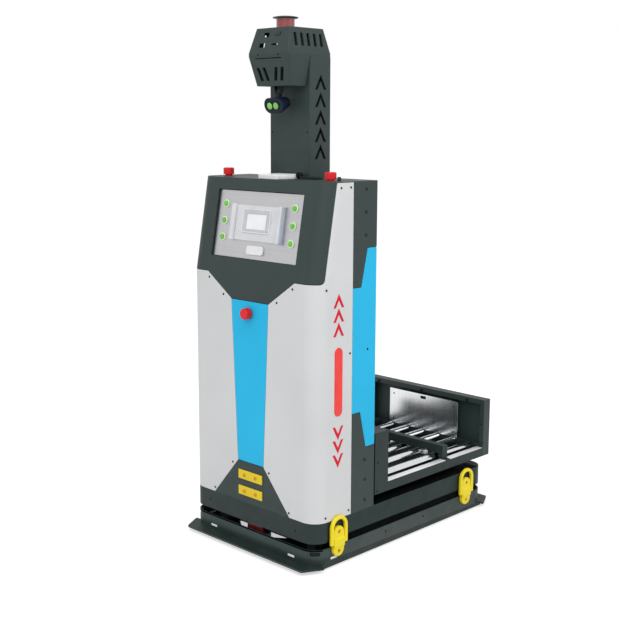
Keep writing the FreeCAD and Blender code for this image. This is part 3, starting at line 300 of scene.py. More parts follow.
extra = {
    # painted light and shade: the skirt's front and rear are lighter than the charcoal coat above and darker
    # at the foot
    "skirtCoat": paint("skirtCoat", toLinear(57, 73, 71), 0.56, 0.25, tones["darkEdge"], 0.08, skirtFoot),
    # painted shade: a darker copy of the charcoal coat for the upper chassis's flanks
    "flankCoat": paint("flankCoat", tones["skirtFoot"], 0.56, 0.25, tones["darkEdge"]),
    # painted light: a lighter copy of the charcoal coat for the back of the rear wall's pan
    "panCoat": paint("panCoat", toLinear(54, 69, 68), 0.54, 0.25, tones["darkEdge"]),
    # painted shade: a darker copy of the charcoal coat for the upper chassis, conveyor frame and lane divider
    "deckCoat": paint("deckCoat", tones["deck"], 0.54, 0.25, tones["darkEdge"], 0.05),
    # painted shade: the darkest copy of the coat, for the pan's inner sides and the strip at the mast's foot
    "innerCoat": paint("innerCoat", toLinear(26, 36, 35), 0.62, 0.2, tones["deck"]),
    "whiteTrim": plastic("whiteTrim", toLinear(242, 243, 243), 0.3, coat=0.2),
    "caseWhite": plastic("caseWhite", toLinear(230, 231, 233), 0.3),
    # painted shade: darker grey for the grips' outer flanks
    "gripShade": plastic("gripShade", toLinear(176, 183, 194), 0.36),
    "capShell": plastic("capShell", toLinear(50, 64, 61), 0.42),
    "blackOxide": metal("blackOxide", toLinear(44, 48, 48), 0.42, (60, 60, 60), 0.08),
    "gildedSteel": metal("gildedSteel", toLinear(206, 150, 52), 0.38, (60, 60, 60), 0.08),
    "trimSteel": metal("trimSteel", toLinear(236, 237, 239), 0.28, (500, 4, 500), 0.06),
    "lensGreen": lens("lensGreen", toLinear(104, 186, 60), toLinear(130, 206, 86), 0.2, 0.4),
    "arrowRed": paint("arrowRed", toLinear(218, 26, 48), 0.5, 0.2, toLinear(224, 60, 76)),
    "bandGrey": plastic("bandGrey", toLinear(196, 197, 202), 0.4),
    # black of the rubber edging, and of the painted shade round the operator panel's opening
    "edgeRubber": plastic("edgeRubber", toLinear(14, 17, 17), 0.7, sheen=0.15),
    # black of the slot guards, and of the painted shade under the deck's sides and deep in the scan slot
    "matRubber": plastic("matRubber", toLinear(5, 8, 8), 0.85, sheen=0.05),
    "scannerDeep": lens("scannerDeep", toLinear(84, 22, 24), toLinear(106, 34, 35), 0.3, 0.2),
    "lampGreen": lens("lampGreen", toLinear(90, 160, 120), toLinear(120, 190, 140), 0.2, 0.5),
}
edging = ("black_plastic", extra["edgeRubber"])  # slot and finish of the thin rubber pieces, and of the painted shade round the panel's opening
# slot and finish of the black strips, rubber guards and painted shade alike
blackRubberAndShade = ("black_plastic", extra["matRubber"])
print("finishes made:", len(finishes) + len(extra))


# Mesh tools

fineRound = 3  # segments of a rounding that shows
weld = 0.000005  # points closer than this become one


def smoothBy(mesh, degrees):
    mesh.shade_smooth()
    mesh.set_sharp_from_angle(angle=math.radians(degrees))


def finishMesh(bm, name, degrees=35.0):
    mesh = bpy.data.meshes.new(name)
    bm.to_mesh(mesh)
    bm.free()
    smoothBy(mesh, degrees)
    return mesh


def vertsOf(geom):
    return [item for item in geom if isinstance(item, bmesh.types.BMVert)]


def edgesOf(geom):
    return [item for item in geom if isinstance(item, bmesh.types.BMEdge)]


def softenEdges(bm, edges, offset, segments=2):
    return bmesh.ops.bevel(bm, geom=edges, offset=offset, offset_type="OFFSET", affect="EDGES",
                           segments=segments, profile=0.5, material=-1, clamp_overlap=True)


def blockMesh(name, size, segments=2):
    # softened block that stands on the XY plane
    bm = bmesh.new()
    bmesh.ops.create_cube(bm, size=1.0)
    bmesh.ops.translate(bm, verts=bm.verts, vec=(0, 0, 0.5))
    bmesh.ops.scale(bm, verts=bm.verts, vec=(size["width"], size["length"], size["rise"]))
    softenEdges(bm, bm.edges[:], size["round"], segments)
    return finishMesh(bm, name)


def turnedMesh(name, profile, steps=32, degrees=35.0):
    # profile of (radius, height) points spun round Z
    bm = bmesh.new()
    verts = [bm.verts.new((radius, 0, height)) for radius, height in profile]
    edges = [bm.edges.new(pair) for pair in zip(verts, verts[1:])]
    bmesh.ops.spin(bm, geom=verts + edges, cent=(0, 0, 0), axis=(0, 0, 1), angle=2 * math.pi, steps=steps,
                   use_merge=True, use_duplicate=False)
    bmesh.ops.remove_doubles(bm, verts=bm.verts, dist=weld)
    bmesh.ops.recalc_face_normals(bm, faces=bm.faces)
    return finishMesh(bm, name, degrees)


def raiseFaces(bm, name, faces, rise):
    # gives flat faces a sheet's thickness
    made = bmesh.ops.extrude_face_region(bm, geom=faces)["geom"]
    bmesh.ops.translate(bm, verts=vertsOf(made), vec=(0, 0, rise))
    bmesh.ops.recalc_face_normals(bm, faces=bm.faces)
    return finishMesh(bm, name)


def cutoutMesh(name, points, rise):
    bm = bmesh.new()
    face = bm.faces.new([bm.verts.new((x, y, 0)) for x, y in points])
    return raiseFaces(bm, name, [face], rise)


def ringMesh(name, loops, rise):
    # flat ring between two outlines
    bm = bmesh.new()
    edges = []
    for loop in loops:
        verts = [bm.verts.new((x, y, 0)) for x, y in loop]
        edges += [bm.edges.new((verts[index - 1], verts[index])) for index in range(len(verts))]
    bmesh.ops.bridge_loops(bm, edges=edges)
    return raiseFaces(bm, name, bm.faces[:], rise)


def rectangle(half, low, high):
    return [(-half, low), (half, low), (half, high), (-half, high)]


def arrowLoop(tip, foot, wide, inner, notch):
    # arrow head that points up, from its tip round both legs
    return [(0, tip), (wide, foot), (inner, foot), (0, notch), (-inner, foot), (-wide, foot)]


def at(point, direction):
    # Z of the template points along the direction
    return Matrix.Translation(point) @ Vector(direction).to_track_quat("Z", "Y").to_matrix().to_4x4()


def panelAt(point, across, upward):
    # X of the template runs across, its Y upward, its Z out of the panel
    across = Vector(across)
    upward = Vector(upward)
    axes = Matrix((across, upward, across.cross(upward))).transposed().to_4x4()
    return Matrix.Translation(point) @ axes


def addObject(name, data):
    made = bpy.data.objects.new(name, data)
    bpy.context.scene.collection.objects.link(made)
    return made


def newObject(name, mesh, body, slot, finish=None):
    piece = addObject(name, mesh)
    mesh.materials.append(finish or finishes[slot])
    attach(piece, body)
    return piece


def addCopy(bm, template, matrix):
    count = len(bm.verts)
    bm.from_mesh(template)
    bm.verts.ensure_lookup_table()
    bmesh.ops.transform(bm, verts=bm.verts[count:], matrix=matrix)


def scatter(name, template, places, slot, finish=None, body=base):
    # one object with a copy of the template at each place
    bm = bmesh.new()
    for matrix in places:
        addCopy(bm, template, matrix)
    return newObject(name, finishMesh(bm, name), body, slot, finish)


def fitBlock(name, size, places, slot, finish=None):
    scatter(name, blockMesh(name, size, fineRound), places, slot, finish)


both = (-1, 1)  # left and right
front = Vector((0, -1, 0))
back = Vector((0, 1, 0))
right = Vector((1, 0, 0))
up = Vector((0, 0, 1))


def onEnd(facing, places, y):
    return [at(Vector((sign * x, y, z)), facing) for sign in both for x, z in places]


def onSides(places, x):
    return [at(Vector((sign * x, y, z)), (sign, 0, 0)) for sign in both for y, z in places]


def sidePanels(places, x):
    return [panelAt((sign * x, y, z), (0, sign, 0), up) for sign in both for y, z in places]


# Dressed copies of the solids

dressing = {"flatAngle": 0.4, "edgeAngle": 40.0, "bevel": 0.0008}
bevelOf = {"cladding_left": 0.0005, "cladding_right": 0.0005, "control_hood": 0.0005, "button_rings": 0.0003,
           "hmi_screen": 0.0002, "polished_plate": 0.0003, "mast_column": 0.0005, "head_shell": 0.0005,
           "cabinet_carcass": 0.0005}


def camel(name):
    first, *rest = name.split("_")
    return first + "".join(word.capitalize() for word in rest)


def dress(node):
    mesh = frame["nodes"][node].data.copy()
    bm = bmesh.new()
    bm.from_mesh(mesh)
    bmesh.ops.remove_doubles(bm, verts=bm.verts, dist=weld)
    bmesh.ops.dissolve_limit(bm, angle_limit=math.radians(dressing["flatAngle"]), verts=bm.verts,
                             edges=bm.edges)
    # outward corners only, so that nothing grows into a neighbour
    sharp = math.radians(dressing["edgeAngle"])
    corners = [edge for edge in bm.edges
               if len(edge.link_faces) == 2 and edge.calc_face_angle_signed(0) > sharp]
    mark = bm.faces.layers.float.new("edgeMark")
    made = softenEdges(bm, corners, bevelOf.get(node, dressing["bevel"]))
    for face in made["faces"]:
        face[mark] = 1.0
    bm.to_mesh(mesh)
    bm.free()
    mesh.materials.clear()
    smoothBy(mesh, dressing["edgeAngle"])
    piece = newObject(camel(node), mesh, bodyOf[node], slotOf[node])
    piece.modifiers.new("evenNormals", "WEIGHTED_NORMAL").keep_sharp = True
    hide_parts(node)
    return piece


dressed = {node: dress(node) for node in slotOf}
print("pieces dressed:", len(dressed))

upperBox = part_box("upper_chassis")
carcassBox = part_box("cabinet_carcass")
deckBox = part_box("conveyor_frame")
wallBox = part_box("rear_wall")
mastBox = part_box("mast_column")
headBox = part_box("head_shell")
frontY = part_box("lower_front_cover")[0].y
backY = carcassBox[1].y
cabTop = carcassBox[1].z
sideX = upperBox[1].x
rearY = upperBox[1].y
bodyCorner = 0.060
cornerX = sideX - bodyCorner
cornerY = frontY + bodyCorner
seat = 0.0002  # how deep small pieces sit in what carries them


def middleOf(box):
    return (box[0] + box[1]) / 2


# Second finishes on the dressed copies

# the skirt takes painted light and shade, and the deck parts a darker copy of the coat as painted shade
mainFinish = {"lower_chassis": "skirtCoat", "upper_chassis": "deckCoat", "conveyor_frame": "deckCoat",
              "lane_divider": "deckCoat", "nav_cap": "capShell", "card_reader": "caseWhite",
              "safety_scanner": "scannerDeep"}
for node, name in mainFinish.items():
    dressed[node].data.materials[0] = extra[name]


def retone(node, finish, chosen):
    mesh = dressed[node].data
    mesh.materials.append(finish)
    for face in mesh.polygons:
        if chosen([mesh.vertices[index].co for index in face.vertices]):
            face.material_index = len(mesh.materials) - 1


def farthest(points, middle, plane):
    # greatest distance from an axis, seen along it
    first, second = plane
    return max(math.hypot(point[first] - middle[first], point[second] - middle[second]) for point in points)


skin = 0.001  # points this near an outer face belong to it
pan = {"front": 0.5021, "side": 0.3079, "low": 0.2031, "high": 0.4309, "floor": 0.5365}


def inPan(points, start):
    end = wallBox[1].y - skin
    return all(start < point.y < end and abs(point.x) < pan["side"] for point in points)


def onPanSides(points):
    within = all(pan["low"] < point.z < pan["high"] for point in points)
    return within and inPan(points, pan["front"]) and min(point.y for point in points) < pan["floor"]


# painted shade darkens the pan's inner sides, and painted light lightens the pan's back
retone("rear_wall", extra["innerCoat"], onPanSides)
retone("rear_wall", extra["panCoat"], lambda points: inPan(points, pan["floor"]))

flank = {"end": 0.4325, "bumperGap": 0.0005}


def onFlank(points):
    return all(abs(point.x) > sideX - skin and abs(point.y) < flank["end"] for point in points)


# painted shade darkens the upper chassis's flanks
retone("upper_chassis", extra["flankCoat"], onFlank)
bumperY = rearY + flank["bumperGap"]
# the skirt's flanks and bumper keep the plain charcoal coat, without the painted light and shade of its front
# and rear
retone("lower_chassis", finishes["dark_paint"],
       lambda points: onFlank(points) or all(abs(point.y) > bumperY for point in points))

scanWindow = {"low": 0.0555, "high": 0.1005}
retone("safety_scanner", finishes["black_plastic"],
       lambda points: min(point.z for point in points) < scanWindow["low"]
       or max(point.z for point in points) > scanWindow["high"])
headFoot = 1.6591  # only the camera's ears reach below it
retone("head_shell", finishes["black_plastic"], lambda points: min(point.z for point in points) < headFoot)

wheelHub = {"radius": 0.0465, "boltCircle": 0.028, "bolts": 5, "recess": 0.009}
for side in ("left", "right"):
    axle = middleOf(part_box("drive_wheel_" + side))
    retone("drive_wheel_" + side, finishes["cast_alloy"],
           lambda points: farthest(points, axle, (1, 2)) < wheelHub["radius"])

rollerEnd = {"tube": 0.0134, "shaft": 0.0075}
for roller in [node for node in slotOf if node.startswith("roller_")]:
    axle = middleOf(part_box(roller))
    retone(roller, finishes["black_plastic"],
           lambda points: rollerEnd["shaft"] < farthest(points, axle, (0, 2)) < rollerEnd["tube"])
print("second finishes set")


# Screws

screwLook = {"sides": 6, "cuts": 3, "shoulder": 0.45, "rim": 0.6}


def screwMesh(size):
    # hexagon socket in a low domed head
    bm = bmesh.new()
    bmesh.ops.create_circle(bm, segments=screwLook["sides"], radius=size["socket"])
    bmesh.ops.subdivide_edges(bm, edges=bm.edges[:], cuts=screwLook["cuts"])
    socketEdges = list(bm.edges)
    steps = screwLook["sides"] * (screwLook["cuts"] + 1)
    crown = bmesh.ops.create_circle(bm, segments=steps, radius=size["crown"])["verts"]
    loop = list({edge for vert in crown for edge in vert.link_edges})
    bmesh.ops.bridge_loops(bm, edges=socketEdges + loop)
    bmesh.ops.translate(bm, verts=bm.verts, vec=(0, 0, size["rise"]))
    for share in (screwLook["shoulder"], screwLook["rim"]):
        made = bmesh.ops.extrude_edge_only(bm, edges=loop)["geom"]
        verts = vertsOf(made)
        grow = size["radius"] / max(vert.co.xy.length for vert in verts)
        bmesh.ops.scale(bm, verts=verts, vec=(grow, grow, 1))
        bmesh.ops.translate(bm, verts=verts, vec=(0, 0, -share * size["rise"]))
        loop = edgesOf(made)
    made = bmesh.ops.extrude_edge_only(bm, edges=socketEdges)["geom"]
    bmesh.ops.translate(bm, verts=vertsOf(made), vec=(0, 0, -size["deep"]))
    bmesh.ops.edgeloop_fill(bm, edges=edgesOf(made))
    bmesh.ops.recalc_face_normals(bm, faces=bm.faces)
    return finishMesh(bm, "screwHead")


coverScrew = {"radius": 0.0040, "crown": 0.0030, "socket": 0.0019, "rise": 0.0015, "deep": 0.0011}
smallScrew = {"radius": 0.0034, "crown": 0.0025, "socket": 0.0015, "rise": 0.0012, "deep": 0.0009}
wallScrew = {"radius": 0.0056, "crown": 0.0042, "socket": 0.0026, "rise": 0.0018, "deep": 0.0013}
columnScrew = {"radius": 0.0066, "crown": 0.0050, "socket": 0.0026, "rise": 0.0016, "deep": 0.0012}
bigScrew = {"radius": 0.0064, "crown": 0.0048, "socket": 0.0030, "rise": 0.0036, "deep": 0.0024}

coverScrews = {
    "front": [(0.215, 0.982), (0.138, 0.927), (0.096, 0.310), (0.197, 0.1885), (0.228, 0.133)],
    "cladding": [(-0.441, 0.984), (-0.323, 0.754), (-0.440, 0.189), (-0.323, 0.189), (-0.372, 1.321),
                 (-0.3245, 1.3215)],
    "bluePanel": [(-0.232, 0.756)],
    "skirt": [(-0.119, 0.054), (0.099, 0.055)],
    "deckHousing": [(-0.150, 0.320), (-0.153, 0.212)],
}
flankScrews = coverScrews["cladding"] + coverScrews["bluePanel"] + coverScrews["skirt"]
scatter("coverScrews", screwMesh(coverScrew),
        onEnd(front, coverScrews["front"], frontY) + onSides(flankScrews, sideX)
        + onSides(coverScrews["deckHousing"], deckBox[1].x), "dark_paint", extra["blackOxide"])

columnScrews = {
    "flank": [(-0.246, 1.313), (-0.246, 1.235), (-0.245, 1.156), (-0.240, 0.356), (-0.238, 0.282),
              (-0.237, 0.206)],
    "rear": [(0.285, 1.300), (0.285, 1.060), (0.285, 0.820), (0.285, 0.580)],
}
# the column screws take the darker flank copy of the coat, painted shade
scatter("columnScrews", screwMesh(columnScrew),
        onSides(columnScrews["flank"], sideX) + onEnd(back, columnScrews["rear"], backY),
        "dark_paint", extra["flankCoat"])

trimScrews = {
    "mast": [(0.088, 1.501)],
    "headBand": [(0.051, 1.7645)],
    "wallFlange": [(0.298, 0.330)],
    "flangeDepth": 0.003,
    "liner": [(0.160, 0.273), (0.160, 0.381)],
    "wallBack": [(0.160, 0.273), (0.160, 0.381), (0.270, 0.410), (0.270, 0.224)],
}
scatter("trimScrews", screwMesh(smallScrew),
        onEnd(front, trimScrews["mast"], mastBox[0].y) + onEnd(front, trimScrews["headBand"], headBox[0].y)
        + onEnd(front, trimScrews["wallFlange"], wallBox[0].y + trimScrews["flangeDepth"])
        + onEnd(front, trimScrews["liner"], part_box("polished_plate")[0].y)
        + onEnd(back, trimScrews["wallBack"], wallBox[1].y), "dark_paint", extra["blackOxide"])

wallScrews = {"xs": (-0.250, -0.012, 0.226), "z": 0.4205}
scatter("wallScrews", screwMesh(wallScrew),
        [at(Vector((x, wallBox[0].y, wallScrews["z"])), front) for x in wallScrews["xs"]], *edging)

lugScrews = {"heights": (0.059, 0.129), "seat": 0.331, "contact": [(0.029, 0.215), (0.029, 0.275)]}
lugLines = [middleOf(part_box("lift_ring_%s_right" % end)).y for end in ("front", "rear")]
places = onSides([(y, z) for y in lugLines for z in lugScrews["heights"]], lugScrews["seat"])
places += onEnd(front, lugScrews["contact"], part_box("charge_contacts")[0].y)
scatter("lugScrews", screwMesh(bigScrew), places, "zinc_steel", extra["gildedSteel"])
print("screws set")


# Painted arrows on the pale flanks, in line with the light bars

arrows = {"upTips": (0.9673, 0.9183, 0.8689), "downTips": (0.4567, 0.4077, 0.3577), "thick": 0.0004,
          "outline": {"tip": 0, "foot": -0.0484, "wide": 0.0266, "inner": 0.0148, "notch": -0.0224}}
arrowMesh = cutoutMesh("arrow", arrowLoop(**arrows["outline"]), arrows["thick"])
arrowLine = middleOf(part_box("light_bars")).y
halfTurn = Matrix.Rotation(math.pi, 4, "Z")
places = sidePanels([(arrowLine, z) for z in arrows["upTips"]], sideX)
places += [matrix @ halfTurn for matrix in sidePanels([(arrowLine, z) for z in arrows["downTips"]], sideX)]
scatter("flankArrows", arrowMesh, places, "stop_red", extra["arrowRed"])


# Chassis fittings

def sideStrips(name, strip):
    # black strip on each flank
    size = {"width": strip["end"] - strip["start"], "length": strip["high"] - strip["low"],
            "rise": strip["thick"], "round": strip["round"]}
    middle = ((strip["start"] + strip["end"]) / 2, (strip["low"] + strip["high"]) / 2)
    scatter(name, blockMesh(name, size, strip["segments"]), sidePanels([middle], strip["x"]), *blackRubberAndShade)


inserts = {"width": 0.0334, "length": 0.0094, "rise": 0.0034, "round": 0.0014, "sunk": 0.0038,
           "frontX": 0.207, "sideY": -0.396, "z": 0.035}
places = sidePanels([(inserts["sideY"], inserts["z"])], sideX - inserts["sunk"])
for sign in both:
    x = sign * inserts["frontX"]
    places.append(panelAt((x, frontY + inserts["sunk"], inserts["z"]), right, up))
    places.append(panelAt((x, rearY - inserts["sunk"], inserts["z"]), -right, up))
fitBlock("skirtInserts", inserts, places, "white_plastic")

# painted shade: a black lining deep in the scan slot
sideStrips("slotLinings", {"x": 0.3184, "start": -0.366, "end": 0.430, "low": 0.050, "high": 0.0988,
                           "thick": 0.0024, "round": 0.0006, "segments": 2})

# rubber guards that edge the scan slot: flat ones on the flanks, and one bent round each end
guard = {"thick": 0.0009, "sunk": 0.0003, "low": 0.0710, "high": 0.0764, "sweep": 72.0, "steps": 14}
sideStrips("slotGuards", {"x": sideX - guard["sunk"], "start": -0.431, "end": 0.431, "low": 0.0986,
                          "high": 0.1050, "thick": guard["thick"], "round": 0.0004, "segments": 2})


def endGuardMesh():
    # one half is drawn out from the middle and bent round its corner, then mirrored
    bm = bmesh.new()
    inner = frontY + guard["sunk"]
    outer = inner - guard["thick"]
    section = ((inner, guard["low"]), (outer, guard["low"]), (outer, guard["high"]), (inner, guard["high"]))
    strip = bm.faces.new([bm.verts.new((0, y, z)) for y, z in section])
    made = bmesh.ops.extrude_face_region(bm, geom=[strip])["geom"]
    bmesh.ops.translate(bm, verts=vertsOf(made), vec=(cornerX, 0, 0))
    bmesh.ops.spin(bm, geom=made, cent=(cornerX, cornerY, 0), axis=(0, 0, 1),
                   angle=math.radians(guard["sweep"]), steps=guard["steps"], use_merge=False,
                   use_duplicate=False)
    seam = [face for face in bm.faces if all(abs(vert.co.x) < weld for vert in face.verts)]
    bmesh.ops.delete(bm, geom=seam, context="FACES_ONLY")
    bmesh.ops.mirror(bm, geom=bm.verts[:] + bm.edges[:] + bm.faces[:], axis="X", merge_dist=weld)
    bmesh.ops.remove_doubles(bm, verts=bm.verts, dist=weld)
    bmesh.ops.recalc_face_normals(bm, faces=bm.faces)
    return finishMesh(bm, "endGuard")


scatter("endGuards", endGuardMesh(), [Matrix.Identity(4), halfTurn], *blackRubberAndShade)

cornerPort = {"reach": 0.0485, "z": 0.062, "bars": 3, "pitch": 0.0046, "barFoot": 0.0015,
              "plate": {"width": 0.044, "length": 0.020, "rise": 0.002, "round": 0.0006},
              "bar": {"width": 0.0352, "length": 0.0022, "rise": 0.0042, "round": 0.0005}}


def portMesh():
    # backing plate with raised louvre bars
    bm = bmesh.new()
    bm.from_mesh(blockMesh("portPlate", cornerPort["plate"]))
    bar = blockMesh("portBar", cornerPort["bar"])
    for index in range(cornerPort["bars"]):
        offset = (index - (cornerPort["bars"] - 1) / 2) * cornerPort["pitch"]
        addCopy(bm, bar, Matrix.Translation((0, offset, cornerPort["barFoot"])))
    return finishMesh(bm, "portLouvre")


diagonal = math.sqrt(0.5)
outward = diagonal * cornerPort["reach"]
places = [panelAt((sign * (cornerX + outward), cornerY - outward, cornerPort["z"]),
                  (diagonal, sign * diagonal, 0), up) for sign in both]
scatter("cornerLouvres", portMesh(), places, "black_plastic")
print("chassis fittings made")


# Deck trim

deckTrim = {"x": 0.295, "z": 0.236, "width": 0.029, "rise": 0.0015, "round": 0.0005,
            "runs": ((-0.092, 0.2555), (0.2865, 0.4945))}
bm = bmesh.new()
for start, end in deckTrim["runs"]:
    strip = blockMesh("deckStrip", {**deckTrim, "length": end - start})
    for sign in both:
        addCopy(bm, strip, Matrix.Translation((sign * deckTrim["x"], (start + end) / 2, deckTrim["z"])))
newObject("deckStrips", finishMesh(bm, "deckStrips"), base, "white_plastic", extra["whiteTrim"])

# black strips under the deck's long sides as painted shade, and a black strip where the drive housing meets
# the cabinet
deckMats = {"x": 0.2789, "y": 0.135, "width": 0.0898, "length": 0.622, "rise": 0.0011, "round": 0.0004}
places = [Matrix.Translation((sign * deckMats["x"], deckMats["y"], upperBox[1].z - seat)) for sign in both]
scatter("deckMats", blockMesh("deckMat", deckMats), places, *blackRubberAndShade)

housingSeam = {"gap": 0.0006, "reach": 0.0192, "endGap": 0.001}
sideStrips("housingBeads", {"x": deckBox[1].x - seat, "start": backY + housingSeam["gap"],
                            "end": backY + housingSeam["reach"], "low": wallBox[0].z + housingSeam["endGap"],
                            "high": wallBox[1].z - housingSeam["endGap"], "thick": 0.0046, "round": 0.0016,
                            "segments": fineRound})

laneSensor = {"spot": Vector((0.2075, 0.241, 0.2475)), "width": 0.034, "length": 0.020, "rise": 0.0145,
              "round": 0.003, "eyeRise": 0.0075,
              "eye": [(0, 0.0012), (0.00252, 0.0010), (0.0042, 0.0002), (0.0042, -0.001), (0, -0.001)]}
fitBlock("laneSensor", laneSensor, [Matrix.Translation(laneSensor["spot"])], "silver_plastic")
eyeSpot = laneSensor["spot"] + Vector((0, -laneSensor["length"] / 2, laneSensor["eyeRise"]))
eyeMesh = turnedMesh("sensorEye", laneSensor["eye"], steps=24)
scatter("sensorEye", eyeMesh, [at(eyeSpot, front)], "black_plastic")

bracket = {"y": 0.240, "z": 0.262, "thick": 0.002,
           "outline": [(-0.011, -0.016), (0.011, -0.016), (0.011, 0.006), (0.007, 0.0162), (-0.007, 0.0162),
                       (-0.011, 0.006)]}
bracketMesh = cutoutMesh("sensorBracket", bracket["outline"], bracket["thick"])
bracketSpot = (laneSensor["spot"].x, bracket["y"], bracket["z"])
scatter("sensorBracket", bracketMesh, [Matrix.Translation(bracketSpot)], "zinc_steel", extra["trimSteel"])
print("deck trim made")


# Camera eyes, which tilt with the camera

cameraEyes = {"centre": Vector((0, -0.347, 1.599)), "tilt": 15.0, "ahead": 0.031, "x": 0.015,
              "dome": [(0, 0.0036), (0.0054, 0.00324), (0.0096, 0.00198), (0.0120, 0.0002), (0.0120, -0.0008),
                       (0, -0.0008)]}
tilt = math.radians(cameraEyes["tilt"])
gaze = Vector((0, -math.cos(tilt), -math.sin(tilt)))
eyeLine = cameraEyes["centre"] + gaze * cameraEyes["ahead"]
places = [at(eyeLine + right * sign * cameraEyes["x"], gaze) for sign in both]
eyeMesh = turnedMesh("cameraEye", cameraEyes["dome"], steps=40, degrees=60.0)
scatter("cameraEyes", eyeMesh, places, "button_green", extra["lensGreen"], "twin_camera")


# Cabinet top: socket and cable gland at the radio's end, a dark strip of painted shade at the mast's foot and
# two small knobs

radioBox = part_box("radio_unit")
radioSocket = {"width": 0.0157, "length": 0.080, "rise": 0.0146, "round": 0.0016}
socketEnd = radioBox[1].x + radioSocket["width"]
socketSpot = (socketEnd - radioSocket["width"] / 2, middleOf(radioBox).y, cabTop - seat)
fitBlock("radioSocket", radioSocket, [Matrix.Translation(socketSpot)], "white_plastic")

gland = {"y": -0.318, "rise": 0.0114, "length": 0.019, "bore": 0.0045,
         "nut": [(0, 0), (0.0112, 0), (0.0112, 0.005), (0.0100, 0.0062)],
         "sleeve": 0.0098, "ribs": 3, "ribStart": 0.0068, "tail": 0.0007,
         "ribShape": ((0.0, 0.0014), (0.25, 0.0), (0.7, 0.0), (0.95, 0.0014))}  # (share of the pitch, depth)


def glandMesh():
    profile = list(gland["nut"])
    pitch = (gland["length"] - gland["ribStart"] - gland["tail"]) / gland["ribs"]
    for index in range(gland["ribs"]):
        for share, depth in gland["ribShape"]:
            profile.append((gland["sleeve"] - depth, gland["ribStart"] + pitch * (index + share)))
    profile += [(gland["bore"], gland["length"]), (0, gland["length"])]
    return turnedMesh("cableGland", profile, steps=28, degrees=30.0)


glandSpot = Vector((socketEnd, gland["y"], cabTop + gland["rise"]))
scatter("cableGland", glandMesh(), [at(glandSpot, right)], *edging)

# painted shade: a dark low block standing in for the contact shadow at the mast's foot
footShade = {"x": 0.1302, "width": 0.0905, "length": 0.024, "rise": 0.009, "round": 0.002}
footShadeSpot = (footShade["x"], gland["y"], cabTop - seat)
fitBlock("cableDuct", footShade, [Matrix.Translation(footShadeSpot)], "black_plastic", extra["innerCoat"])

knob = {"x": 0.2830, "y": -0.338, "profile": [(0, 0), (0.00775, 0), (0.00775, 0.0018), (0.0062, 0.0024),
                                              (0.0062, 0.0125), (0.0047, 0.014), (0, 0.014)]}
places = [Matrix.Translation((sign * knob["x"], knob["y"], cabTop)) for sign in both]
scatter("topKnobs", turnedMesh("topKnob", knob["profile"], steps=24), places, "black_plastic")


# Mast: rubber edging round the arrow vents

ventTrim = {"line": -0.242, "firstTip": 1.6955, "pitch": 0.060, "count": 5, "thick": 0.0006,
            "hole": {"tip": 0, "foot": -0.045, "wide": 0.025, "inner": 0.016, "notch": -0.0162},
            "edge": {"tip": 0.0042, "foot": -0.0476, "wide": 0.0283, "inner": 0.0156, "notch": -0.0171}}
ventLoops = (arrowLoop(**ventTrim["hole"]), arrowLoop(**ventTrim["edge"]))
tips = [(ventTrim["line"], ventTrim["firstTip"] - ventTrim["pitch"] * index)
        for index in range(ventTrim["count"])]
ventMesh = ringMesh("ventTrim", ventLoops, ventTrim["thick"])
scatter("ventTrim", ventMesh, sidePanels(tips, mastBox[1].x), *edging)


# Sensor head: rubber edging round its side vents and leaning front slots, and a lamp on its front

headFace = {"bandLow": 1.760, "bandTop": 1.772, "foot": 1.660, "run": 0.024, "rise": 0.085, "taper": 0.017}
headVents = {"count": 5, "pitch": 0.031, "first": 0.042, "drop": 0.020, "half": 0.0045, "tall": 0.042,
             "edge": 0.0018, "ends": 0.0006, "thick": 0.0006}
headSlots = {"tops": (0.030, 0.060), "lean": 0.011, "half": 0.0055, "low": 1.680, "tall": 0.040,
             "edge": 0.0016, "ends": 0.0028, "thick": 0.0006}
headLamp = {"x": 0.032, "z": 1.836, "width": 0.026, "length": 0.014, "rise": 0.003, "round": 0.0012}
footRise = headFace["bandLow"] - headFace["foot"]
sideSlant = math.atan2(headFace["taper"], headFace["rise"])
frontSlant = math.atan2(headFace["run"], headFace["rise"])
footSlant = math.atan2(headFace["run"], footRise)


def slotRing(slot, slant, lean=0.0):
    # edging of a slot on a slanted face, whose top stands aside from its foot by the lean
    reach = slot["tall"] / math.cos(slant) / 2

    def outline(half, ends):
        high = reach + ends
        shift = lean / 2 * high / reach
        return [(-half - shift, -high), (half - shift, -high), (half + shift, high), (-half + shift, high)]
    edge = outline(slot["half"] + slot["edge"], slot["ends"])
    return ringMesh("headSlot", (outline(slot["half"], 0.0), edge), slot["thick"])


ventZ = headBox[1].z - headVents["drop"] - headVents["tall"] / 2
ventX = headBox[1].x - headFace["taper"] * (ventZ - headFace["bandTop"]) / headFace["rise"]
ventYs = [headBox[0].y + headVents["first"] + headVents["pitch"] * index
          for index in range(headVents["count"])]
places = []
for sign in both:
    ventUp = (-sign * math.sin(sideSlant), 0, math.cos(sideSlant))
    places += [panelAt((sign * ventX, y, ventZ), (0, sign, 0), ventUp) for y in ventYs]
scatter("headVentTrim", slotRing(headVents, sideSlant), places, *edging)

slotZ = headSlots["low"] + headSlots["tall"] / 2
slotY = headBox[0].y + headFace["run"] * (headFace["bandLow"] - slotZ) / footRise
slotUp = (0, -math.sin(footSlant), math.cos(footSlant))
for side, sign in (("Left", -1), ("Right", 1)):
    middles = [sign * (topX - headSlots["lean"] / 2) for topX in headSlots["tops"]]
    places = [panelAt((x, slotY, slotZ), right, slotUp) for x in middles]
    slotMesh = slotRing(headSlots, footSlant, sign * headSlots["lean"])
    scatter("headSlotTrim" + side, slotMesh, places, *edging)

